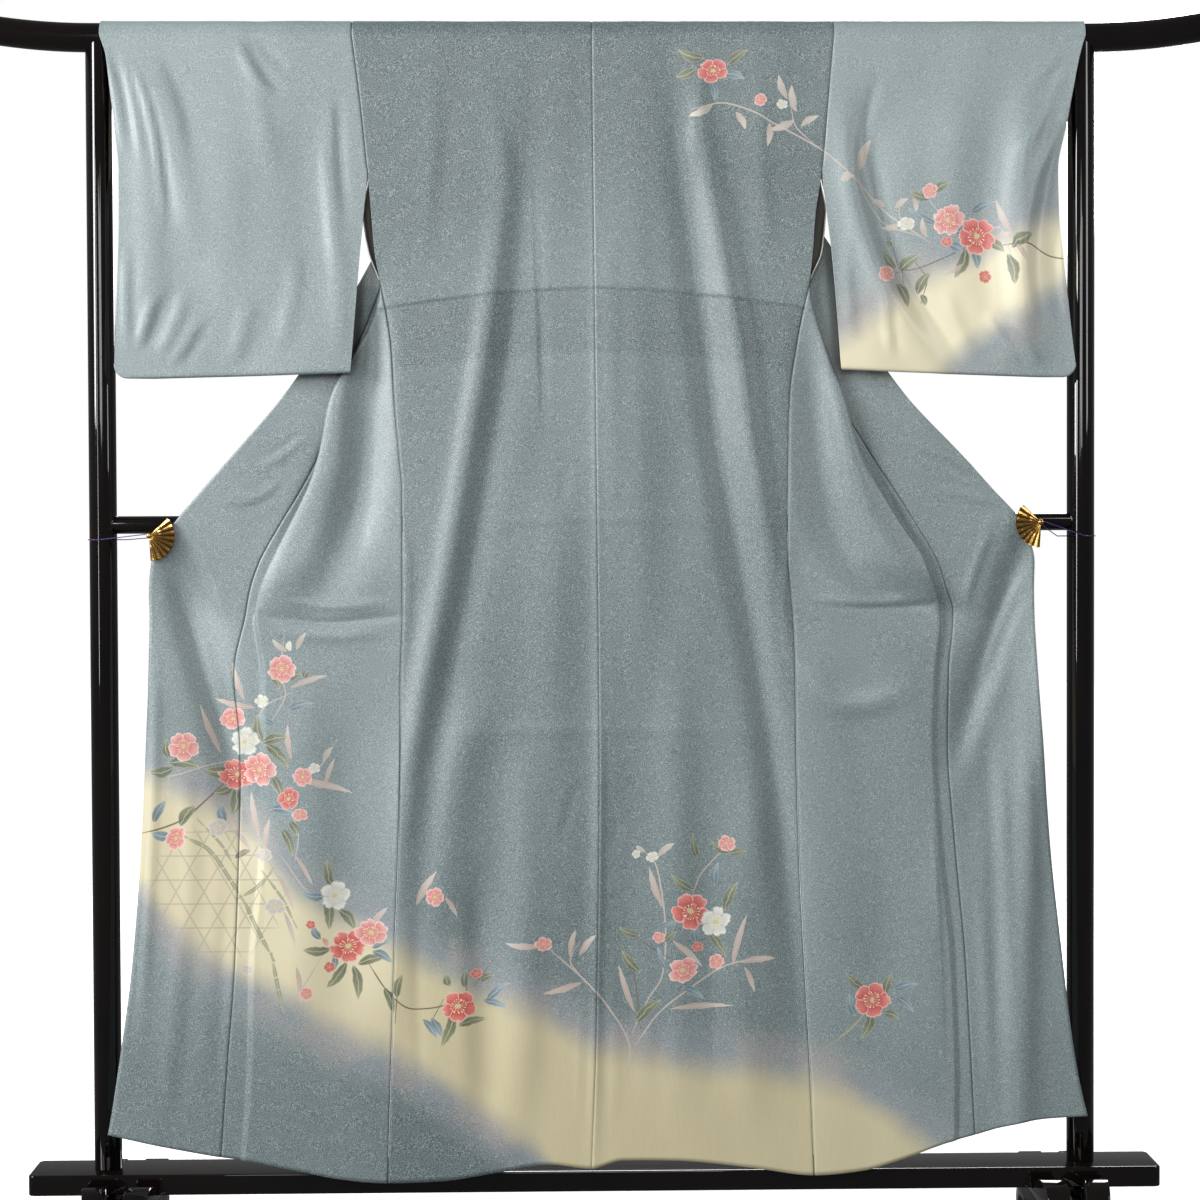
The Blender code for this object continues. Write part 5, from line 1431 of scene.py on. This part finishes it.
def plain_lining():
    """Beige silk lining, plain woven."""
    lining = Finish("silk_lining", Sheen_Weight=.2, Sheen_Roughness=.4)
    place = lining.place()
    _, _, up = place.parts()
    threads = lining.noise(lining.stretched(place, (1400, 300, 60)), 1.0, 1.0)
    soft = lining.noise(place, 4.0, 2.0)
    colour = lining.mix(soft, tint(212, 206, 190), tint(222, 217, 202))
    colour = lining.mix(threads.step(.45, .7) * .2, colour, tint(170, 166, 150))
    lower = up.step(HEM_FACING + .002, HEM_FACING)
    facing = lining.mix(soft, tint(142, 158, 161), tint(160, 174, 177))
    colour = lining.mix(lower, colour, facing)
    colour = lining.mix(abs(up - HEM_FACING).step(.0022, .0008) * .6, colour, tint(120, 122, 114))
    # painted shadow on the lining inside the open slit
    colour = lining.mix(lining.stored("painted_shadow").step(0, 1) * .9, colour, tint(30, 33, 29))
    return lining.surface(Base_Color=colour, Roughness=.5 + threads * .12, bump=threads,
                          height=.0003, strength=.4)


def bound_edge():
    """The lining rolled over the cloth's open edges, and the folds of the sewn ones, painted dark
    near the seams as shade.
    """
    edge = Finish("silk_edge", Sheen_Weight=.2, Sheen_Roughness=.4)
    place = edge.place()
    threads = edge.noise(edge.stretched(place, (600, 600, 400)), 1.0, 1.0)
    colour = edge.mix(threads.step(.35, .65), tint(176, 182, 176), tint(202, 204, 194))
    # painted shade in the grooves along the seams
    colour = edge.mix(edge.stored("seam").step(.15, .5), colour, tint(64, 80, 86))
    return edge.surface(Base_Color=colour, Roughness=.5 + threads * .1, bump=threads,
                        height=.0003, strength=.4)


def black_lacquer():
    """Wax-coloured black lacquer, polished, with the faintest wipe marks."""
    lacquer = Finish("black_lacquer", Coat_Roughness=.02, IOR=1.45, Specular_IOR_Level=.1)
    place = lacquer.place()
    cloud = lacquer.noise(place, 5.0, 3.0)
    grain = lacquer.noise(lacquer.stretched(place, (60, 60, 8)), 1.0, 2.0)
    colour = lacquer.mix(cloud.step(.35, .65), tint(7, 5, 5), tint(14, 9, 8))
    marks = lacquer.noise(place, 240.0, 3.0).step(.60, .72)
    return lacquer.surface(Base_Color=colour, Roughness=.08 + cloud * .04 + marks * .05,
                           Coat_Weight=.90 - marks * .2, bump=grain, height=.0002,
                           strength=.12)


def gilt_metal():
    """Polished gilt brass."""
    gilt = Finish("gilt_brass", Metallic=1.0)
    place = gilt.place()
    wear = gilt.noise(place, 90.0, 3.0)
    brush = gilt.noise(gilt.stretched(place, (2600, 400, 400)), 1.0, 1.0)
    colour = gilt.mix(wear.step(.35, .7), tint(214, 170, 98), tint(186, 138, 72))
    # painted shade, darker in the valleys of the pleats
    colour = gilt.mix(gilt.stored("fold").step(.35, .9) * .85, colour, tint(64, 38, 16))
    return gilt.surface(Base_Color=colour, Roughness=.17 + wear * .14 + brush * .05, bump=brush,
                        height=.0001, strength=.15)


def silk_thread():
    """Purple silk thread."""
    thread = Finish("silk_thread", Sheen_Weight=.4, Sheen_Roughness=.3)
    place = thread.place()
    fibre = thread.noise(place, 2600.0, 2.0)
    colour = thread.mix(fibre.step(.35, .65), tint(62, 30, 92), tint(98, 58, 136))
    return thread.surface(Base_Color=colour, Roughness=.5 + fibre * .15, bump=fibre,
                          height=.0002, strength=.5)


def pale_floor():
    """Matt pale grey floor that glows a little, more so far out."""
    floor = Finish("pale_floor", Emission_Strength=1.0, Specular_IOR_Level=.1)
    place = floor.place()
    across, away, _ = place.parts()
    reach = (across * across + away * away).math("SQRT")
    dust = floor.noise(place, 14.0, 3.0)
    colour = floor.mix(dust, tint(238, 238, 238), tint(243, 243, 242))
    glow = floor.mix(reach.step(.8, 4.5), tint(190, 190, 190), tint(255, 255, 255))
    return floor.surface(Base_Color=colour, Emission_Color=glow, Roughness=.8 + dust * .1)


SILK = crepe_silk()
LINING = plain_lining()
BINDING = bound_edge()
LACQUER = black_lacquer()
GILT = gilt_metal()
THREAD = silk_thread()


# ---- modelling by hand
def drop_all():
    """Leaves nothing selected."""
    bpy.ops.object.select_all(action="DESELECT")


def only(thing):
    """Leaves edit mode, and selects one piece alone."""
    if bpy.context.mode != "OBJECT":
        bpy.ops.object.mode_set(mode="OBJECT")
    drop_all()
    thing.select_set(True)
    bpy.context.view_layer.objects.active = thing


def face_outwards(thing, merge=None):
    """Closes doubled points, where asked, and turns every face outwards."""
    only(thing)
    bpy.ops.object.mode_set(mode="EDIT")
    bpy.ops.mesh.select_all(action="SELECT")
    if merge:
        bpy.ops.mesh.remove_doubles(threshold=merge)
    bpy.ops.mesh.normals_make_consistent(inside=False)
    bpy.ops.object.mode_set(mode="OBJECT")


def pick(thing, what, wanted):
    """Selects the faces or edges whose middle passes a test, and nothing else."""
    if bpy.context.mode != "OBJECT":
        bpy.ops.object.mode_set(mode="OBJECT")
    mesh = thing.data
    for group in (mesh.vertices, mesh.edges, mesh.polygons):
        group.foreach_set("select", [False] * len(group))
    for item in getattr(mesh, what):
        corners = [mesh.vertices[index].co for index in item.vertices]
        if wanted(sum(corners, Vector()) / len(corners), corners):
            item.select = True
            for index in item.vertices:
                mesh.vertices[index].select = True
    bpy.context.tool_settings.mesh_select_mode = (False, what == "edges", what == "polygons")
    bpy.ops.object.mode_set(mode="EDIT")


def finish(thing, name, surface, bevel=0.0, segments=3, angle=30):
    """Softens the sharp edges, puts the piece's place in its mesh and gives its finish."""
    only(thing)
    bpy.ops.object.transform_apply()
    if bevel:
        soft = thing.modifiers.new("soft", "BEVEL")
        soft.width = bevel
        soft.segments = segments
        soft.angle_limit = math.radians(50)
        bpy.ops.object.modifier_apply(modifier="soft")
    bpy.ops.object.shade_smooth_by_angle(angle=math.radians(angle))
    thing.name = thing.data.name = name
    thing.data.materials.clear()
    thing.data.materials.append(surface)
    drop_all()


def round_bar(radius, start, end, sides=64):
    """A round bar at its place."""
    start, end = Vector(start), Vector(end)
    drop_all()
    turn = (end - start).to_track_quat("Z", "Y").to_euler()
    bpy.ops.mesh.primitive_cylinder_add(vertices=sides, radius=radius,
                                        depth=(end - start).length, rotation=turn,
                                        location=(start + end) / 2)
    thing = bpy.context.active_object
    bpy.ops.object.transform_apply()
    return thing


def notch(thing, cutter):
    """Cuts one piece out of another."""
    cut = thing.modifiers.new("notch", "BOOLEAN")
    cut.operation = "DIFFERENCE"
    cut.object = cutter
    only(thing)
    bpy.ops.object.modifier_apply(modifier="notch")
    bpy.data.objects.remove(cutter)


def top_bar():
    """The bar that carries the kimono; its ends sweep up."""
    bar = round_bar(BAR_RADIUS, (-BAR_STRAIGHT, 0, BAR_HEIGHT), (BAR_STRAIGHT, 0, BAR_HEIGHT))
    reach = (BAR_HALF - BAR_STRAIGHT) / BAR_SWEEP
    for side in (-1, 1):
        pick(bar, "polygons", lambda middle, _: middle.x * side > BAR_STRAIGHT / 2)
        for step in range(BAR_SWEEP):
            rise = BAR_LIFT * ((step + 1) ** 2 - step ** 2) / BAR_SWEEP ** 2
            bpy.ops.mesh.extrude_region_move(
                TRANSFORM_OT_translate={"value": (side * reach, 0, rise)})
        bpy.ops.mesh.inset(thickness=BAR_RADIUS * BAR_INSET)
    finish(bar, "bar_black_lacquer", LACQUER, bevel=.0045, segments=5)
    stands_for(bar, "lacquer", "top_bar")


def upright(side):
    """A post from the plank to the top bar, which lies in a seat cut in its top."""
    foot = FOOT_HEIGHT + PLANK_THICK + SEAT_GAP
    x = side * POST_ACROSS
    post = round_bar(POST_RADIUS, (x, 0, foot), (x, 0, BAR_HEIGHT))
    notch(post, round_bar(BAR_RADIUS + SEAT_GAP, (x - SEAT_CUT, 0, BAR_HEIGHT),
                          (x + SEAT_CUT, 0, BAR_HEIGHT)))
    name = SIDE_NAMES[side]
    finish(post, f"upright_{name}_lacquered", LACQUER, bevel=.0007, segments=2)
    stands_for(post, "lacquer", f"upright_{name}")


def mid_rail():
    """The rail between the posts, its ends cut hollow to fit them."""
    rail = round_bar(RAIL_RADIUS, (-POST_ACROSS, 0, RAIL_HEIGHT), (POST_ACROSS, 0, RAIL_HEIGHT))
    for side in (-1, 1):
        x = side * POST_ACROSS
        notch(rail, round_bar(POST_RADIUS + SEAT_GAP, (x, 0, RAIL_HEIGHT - SEAT_CUT),
                              (x, 0, RAIL_HEIGHT + SEAT_CUT)))
    finish(rail, "rail_black_lacquer", LACQUER, bevel=.0005, segments=2)
    stands_for(rail, "lacquer", "mid_rail")


def base_plank():
    """The plank between the feet, its corners rounded."""
    drop_all()
    bpy.ops.mesh.primitive_cube_add(size=1, location=(0, 0, FOOT_HEIGHT + PLANK_THICK / 2),
                                    scale=(2 * PLANK_HALF, PLANK_DEPTH, PLANK_THICK))
    plank = bpy.context.active_object
    bpy.ops.object.transform_apply()
    pick(plank, "edges", lambda _, ends: abs(ends[0].z - ends[1].z) > PLANK_THICK / 2)
    bpy.ops.mesh.bevel(offset=PLANK_CORNER, segments=8)
    finish(plank, "plank_black_lacquer", LACQUER, bevel=.0022, segments=4)
    stands_for(plank, "lacquer", "base_plank")


# Half of a foot's side view: distance from the plank's middle line, and height.
FOOT_TOP = ((.000, FOOT_HEIGHT - SEAT_GAP), (.050, FOOT_HEIGHT - SEAT_GAP), (.056, .084),
            (.066, .095), (.080, .100), (.096, .098), (.112, .088), (.126, .070), (.138, .048),
            (.150, .034), (.163, .028), (.173, .020), (FOOT_REACH, .010), (.173, .000))
FOOT_UNDER = ((.128, .000), (.118, .006), (.108, .020), (.094, .034), (.074, .043), (.000, .046))


def foot(side, inner):
    """One carved foot board; the two boards of a pair close together at their toes."""
    bulge = curve_through(FOOT_TOP[1:-1], 60)[0]
    arch = curve_through(FOOT_UNDER[1:-1], 24)[0]
    half = [FOOT_TOP[0], *map(tuple, bulge), FOOT_TOP[-1], FOOT_UNDER[0], *map(tuple, arch),
            FOOT_UNDER[-1]]
    outline = half + [(-y, z) for y, z in half[-2:0:-1]]
    curve = bpy.data.curves.new("foot_outline", "CURVE")
    curve.dimensions = "2D"
    curve.fill_mode = "BOTH"
    curve.offset = -FOOT_SOFT
    curve.bevel_depth = FOOT_SOFT
    curve.bevel_resolution = 3
    curve.extrude = FOOT_THICK / 2 - FOOT_SOFT
    spline = curve.splines.new("POLY")
    spline.points.add(len(outline) - 1)
    spline.use_cyclic_u = True
    for point, (y, z) in zip(spline.points, outline):
        point.co = (y, z, 0, 1)
    only(placed("foot_outline", curve))
    bpy.ops.object.convert(target="MESH")
    thing = bpy.context.active_object
    thing.data.transform(Matrix(((0, 0, 1, 0), (1, 0, 0, 0), (0, 1, 0, 0), (0, 0, 0, 1))))
    away = -side if inner else side
    for vert in thing.data.vertices:
        closing = max(0.0, abs(vert.co.y) - PLANK_DEPTH / 2) / (FOOT_REACH - PLANK_DEPTH / 2)
        spread = FOOT_SPREAD + ((FOOT_THICK + TOE_GAP) / 2 - FOOT_SPREAD) * closing
        vert.co.x += side * FOOT_ACROSS + away * spread
    face_outwards(thing, merge=.00001)
    place = f"{SIDE_NAMES[side]}_{'inner' if inner else 'outer'}"
    finish(thing, f"foot_{place}_lacquered", LACQUER)
    stands_for(thing, "lacquer", f"foot_{place}")


# ---- clips and ties
CLIP_ACROSS = {-1: .612, 1: .619}
CLIP_HEIGHT = {-1: .990, 1: 1.004}
CLIP_DEPTH = -.0345
CLIP_RADIUS = 0.0355
CLIP_WALL = 0.0011
CLIP_PLEATS = 9
CLIP_RIDGE = 0.0013  # half the height of its pleats at the rim
CLIP_HUB = 0.0024
CLIP_SCALLOP = 0.0010  # the rim is cut back this far on the ridges
CLIP_LIP = 0.0005  # raised edge of its rim
CLIP_BAND = 0.0008  # raised band across its pleats
CLIP_BAND_PLACE = (.45, .045)  # middle and width of the band, as shares of the radius
RIVET_RADIUS = 0.0016
JAW_DEPTH = -.0200
JAW_LENGTH = 0.032
JAW_BEND = ((0, .003), (.0005, .001), (.002, 0))  # across, and short of the jaw's depth
RIVET_HEAD = (.0039, .0020)  # radius and rise of its dome
RIVET_SINK = .0002
FAN_START = math.radians(44)
FAN_END = math.radians(-87)
TIE_RADIUS = 0.0008
TIE_BELOW = 0.008
TIE_BACK = 0.005
TIE_BEND = 0.036
TIE_STEP = 0.0006
TIE_TWIST = 0.0034  # length of one twist of its plies
PLY_SHARE = 0.58  # a ply's radius, as a share of the thread's


def fan_clip(side):
    """A pleated gilt fan, its rim scalloped by the pleats."""
    drop_all()
    bpy.ops.mesh.primitive_grid_add(x_subdivisions=12 * CLIP_PLEATS, y_subdivisions=14, size=1)
    fan = bpy.context.active_object
    folds = []
    band_middle, band_width = CLIP_BAND_PLACE
    for vert in fan.data.vertices:
        share, out = vert.co.x + .5, vert.co.y + .5
        reach = CLIP_HUB + (CLIP_RADIUS - CLIP_HUB) * out
        wave = abs((share * CLIP_PLEATS) % 1 * 2 - 1) * 2 - 1
        reach -= CLIP_SCALLOP * (wave * .5 + .5) * out ** 6
        angle = FAN_START + (FAN_END - FAN_START) * share
        lip = CLIP_LIP * max(0.0, (out - .9) / .1)
        lip += CLIP_BAND * math.exp(-((out - band_middle) / band_width) ** 2)
        folds.append((wave + 1) / 2)
        vert.co = (side * (CLIP_ACROSS[side] - reach * math.cos(angle)),
                   CLIP_DEPTH + wave * CLIP_RIDGE * out - lip,
                   CLIP_HEIGHT[side] + reach * math.sin(angle))
    # how deep in a pleat's valley each point lies, for the shade painted there
    give(fan.data, "fold", "FLOAT", "POINT", "value", folds)
    face_outwards(fan)
    wall = fan.modifiers.new("wall", "SOLIDIFY")
    wall.thickness = CLIP_WALL
    wall.offset = 0.0
    bpy.ops.object.modifier_apply(modifier="wall")
    name = SIDE_NAMES[side]
    finish(fan, f"clip_{name}_fan", GILT, bevel=.00025, segments=2, angle=24)
    stands_for(fan, "gold", f"clip_{name}")


def tube(name, spots, radius, surface, sides=12, closed=False):
    """A round rod along points."""
    spots = [Vector(spot) for spot in spots]
    count = len(spots)
    runs = []
    for index in range(count):
        before = spots[index - 1] if closed or index else spots[0]
        after = spots[(index + 1) % count] if closed or index < count - 1 else spots[-1]
        runs.append((after - before).normalized())
    across = runs[0].orthogonal().normalized()
    rings = []
    for spot, run in zip(spots, runs):
        across = (across - run * across.dot(run)).normalized()
        other = run.cross(across)
        rings.append([spot + (across * math.cos(turn) + other * math.sin(turn)) * radius
                      for turn in (math.tau * step / sides for step in range(sides))])
    points = [tuple(point) for ring in rings for point in ring]
    faces = []
    for index in range(count if closed else count - 1):
        start, end = index * sides, (index + 1) % count * sides
        for step in range(sides):
            after = (step + 1) % sides
            faces.append((start + step, start + after, end + after, end + step))
    if not closed:
        faces.append(tuple(range(sides))[::-1])
        faces.append(tuple(range((count - 1) * sides, count * sides)))
    mesh = bpy.data.meshes.new(name)
    mesh.from_pydata(points, [], faces)
    mesh.shade_smooth()
    mesh.materials.append(surface)
    return placed(name, mesh)


def joined(*things):
    """Several meshes made one."""
    drop_all()
    for thing in things:
        thing.select_set(True)
    bpy.context.view_layer.objects.active = things[0]
    bpy.ops.object.join()
    drop_all()
    return things[0]


def clip_jaw(side):
    """The domed rivet through the fan's pivot, and the jaw behind the cloth."""
    x, z = side * CLIP_ACROSS[side], CLIP_HEIGHT[side]
    tilt = (FAN_START + FAN_END) / 2
    tip = (x - side * JAW_LENGTH * math.cos(tilt), z + JAW_LENGTH * math.sin(tilt))
    front = CLIP_DEPTH - CLIP_WALL / 2
    corners = [(x, front, z)]
    corners += [(x - side * across, JAW_DEPTH - short, z) for across, short in JAW_BEND]
    corners.append((tip[0], JAW_DEPTH, tip[1]))
    rod = tube("clip_jaw", corners, RIVET_RADIUS, GILT, sides=20)
    wide, high = RIVET_HEAD
    drop_all()
    bpy.ops.mesh.primitive_uv_sphere_add(segments=32, ring_count=16, radius=1,
                                         location=(x, front - RIVET_SINK, z),
                                         scale=(wide, high, wide))
    head = bpy.context.active_object
    bpy.ops.object.transform_apply()
    head.data.materials.append(GILT)
    jaw = joined(rod, head)
    name = SIDE_NAMES[side]
    finish(jaw, f"clip_{name}_rivet", GILT)
    stands_for(jaw, "gold", f"clip_{name}_jaw")


def tangent(spot, loop, way):
    """Direction from the post's axis to where a thread from a spot meets the loop round it."""
    across, depth = POST_ACROSS - spot[0], -spot[1]
    half = math.asin(loop / math.hypot(across, depth)) + math.pi / 2
    return math.atan2(depth, across) + way * half


def tie_route(side):
    """Round the clip's rivet and round the post, under the rail."""
    pivot_x, pivot_z = CLIP_ACROSS[side], CLIP_HEIGHT[side]
    depth = CLIP_DEPTH + TIE_BACK
    ring = RIVET_RADIUS + TIE_RADIUS + SEAT_GAP
    loop = POST_RADIUS + TIE_RADIUS + 2 * SEAT_GAP
    post_z = RAIL_HEIGHT - RAIL_RADIUS - TIE_BELOW
    spots = []
    for step in range(13):
        turn = math.radians(90 + 180 * step / 12)
        spots.append((pivot_x + ring * math.cos(turn), depth, pivot_z + ring * math.sin(turn)))
    bend = (POST_ACROSS - TIE_BEND, -TIE_BEND / 2)
    spots.append((*bend, post_z))
    start = tangent(bend, loop, 1)
    end = tangent((pivot_x, depth), loop, -1)
    for step in range(33):
        turn = start + (end - start) * step / 32
        spots.append((POST_ACROSS + loop * math.cos(turn), loop * math.sin(turn), post_z))
    return [Vector((side * x, y, z)) for x, y, z in spots]


def tie(side):
    """Two plies of silk twisted together along the thread's route."""
    route = tie_route(side)
    path = []
    for a, b in zip(route, route[1:] + route[:1]):
        pieces = max(1, round((b - a).length / TIE_STEP))
        path += [a.lerp(b, step / pieces) for step in range(pieces)]
    count = len(path)
    twists = round(count * TIE_STEP / TIE_TWIST)
    plies = []
    for ply in range(2):
        spots = []
        for index, spot in enumerate(path):
            run = (path[(index + 1) % count] - path[index - 1]).normalized()
            across = (Vector((0, 0, 1)) - run * run.z).normalized()
            turn = math.tau * twists * index / count + math.pi * ply
            spots.append(spot + (across * math.cos(turn) + run.cross(across) * math.sin(turn))
                         * TIE_RADIUS * (1 - PLY_SHARE))
        plies.append(tube("ply", spots, TIE_RADIUS * PLY_SHARE, THREAD, sides=8, closed=True))
    cord = joined(*plies)
    name = SIDE_NAMES[side]
    cord.name = cord.data.name = f"tie_{name}_thread"
    stands_for(cord, "thread", f"tie_{name}")


# ---- camera, light, floor
CAMERA_PLACE = (-.0661, -3.75, .9937)
CAMERA_TURN = (0.0199, -0.0255, -0.0039)  # yaw, pitch and roll, in radians
CAMERA_FOCUS = 2691.9 / 1200  # focal length over the picture's width
SENSOR_WIDTH = 36
LIGHTS = (
    # name, place, what it points at, width and height, watts
    ("left", (-4.1, -2.2, 3.0), (0, 0, .85), (1.1, 2.9), 240),
    ("right", (2.3, -1.25, 2.10), (.2, 0, .95), (.6, 1.6), 18),
    ("front", (-.4, -4.6, 2.2), (0, 0, .8), (2.0, 1.4), 52),
    ("strip", (-3.1, -3.3, 1.5), (0, 0, 1.0), (.30, 2.6), 52),
    ("back", (.8, 3.4, 2.6), (0, 0, 1.0), (2.4, 1.6), 130),
)
WORLD_LIGHT = .13


def set_camera():
    """A camera in front of the kimono's back."""
    yaw, pitch, roll = CAMERA_TURN
    forward = Vector((math.sin(yaw) * math.cos(pitch), math.cos(yaw) * math.cos(pitch),
                      math.sin(pitch)))
    level = Vector((math.cos(yaw), -math.sin(yaw), 0))
    upward = level.cross(forward)
    right = level * math.cos(roll) + upward * math.sin(roll)
    above = upward * math.cos(roll) - level * math.sin(roll)
    camera = bpy.data.cameras.new("view")
    camera.lens = CAMERA_FOCUS * SENSOR_WIDTH
    thing = placed("view", camera)
    thing.matrix_world = Matrix.Translation(CAMERA_PLACE) @ Matrix(
        (right, above, -forward)).transposed().to_4x4()
    bpy.context.scene.camera = thing


def soft_light(name, place, target, size, power):
    lamp = bpy.data.lights.new(name, "AREA")
    lamp.shape = "RECTANGLE"
    lamp.size, lamp.size_y = size
    lamp.energy = power
    thing = placed(name, lamp)
    thing.location = place
    thing.rotation_euler = (Vector(target) - Vector(place)).to_track_quat("-Z", "Y").to_euler()


def set_studio():
    """A white surround that lights the scene only softly, five lamps and the floor."""
    scene = bpy.context.scene
    scene.view_settings.view_transform = "Standard"
    world = bpy.data.worlds.new("studio")
    scene.world = world
    world.use_nodes = True
    tree = world.node_tree
    tree.nodes.clear()
    seen = tree.nodes.new("ShaderNodeLightPath")
    both = tree.nodes.new("ShaderNodeMixShader")
    end = tree.nodes.new("ShaderNodeOutputWorld")
    tree.links.new(seen.outputs["Is Camera Ray"], both.inputs[0])
    tree.links.new(both.outputs[0], end.inputs[0])
    for index, strength in ((1, WORLD_LIGHT), (2, 1.0)):
        glow = tree.nodes.new("ShaderNodeBackground")
        glow.inputs["Color"].default_value = (1, 1, 1, 1)
        glow.inputs["Strength"].default_value = strength
        tree.links.new(glow.outputs[0], both.inputs[index])
    for light in LIGHTS:
        soft_light(*light)
    drop_all()
    bpy.ops.mesh.primitive_circle_add(vertices=96, radius=14, fill_type="NGON",
                                      location=(0, 0, -.001))
    floor = bpy.context.active_object
    finish(floor, "pale_floor", pale_floor())
    floor.visible_diffuse = False
    floor.visible_glossy = False


set_camera()
set_studio()
for side in (-1, 1):
    body_panel(side)
    gore_panel(side)
    sleeve(side)
collar_lift = (WALL + COLLAR_WALL) / 2 + COLLAR_CLEAR
collar_band("collar", COLLAR_END, 0.0, collar_lift, COLLAR_WALL)
over_lift = collar_lift + (COLLAR_WALL + OVER_COLLAR_WALL) / 2 + OVER_COLLAR_CLEAR
collar_band("over_collar", OVER_COLLAR_END, OVER_COLLAR_INSET, over_lift, OVER_COLLAR_WALL)
top_bar()
mid_rail()
base_plank()
for side in (-1, 1):
    upright(side)
    foot(side, False)
    foot(side, True)
    fan_clip(side)
    clip_jaw(side)
    tie(side)
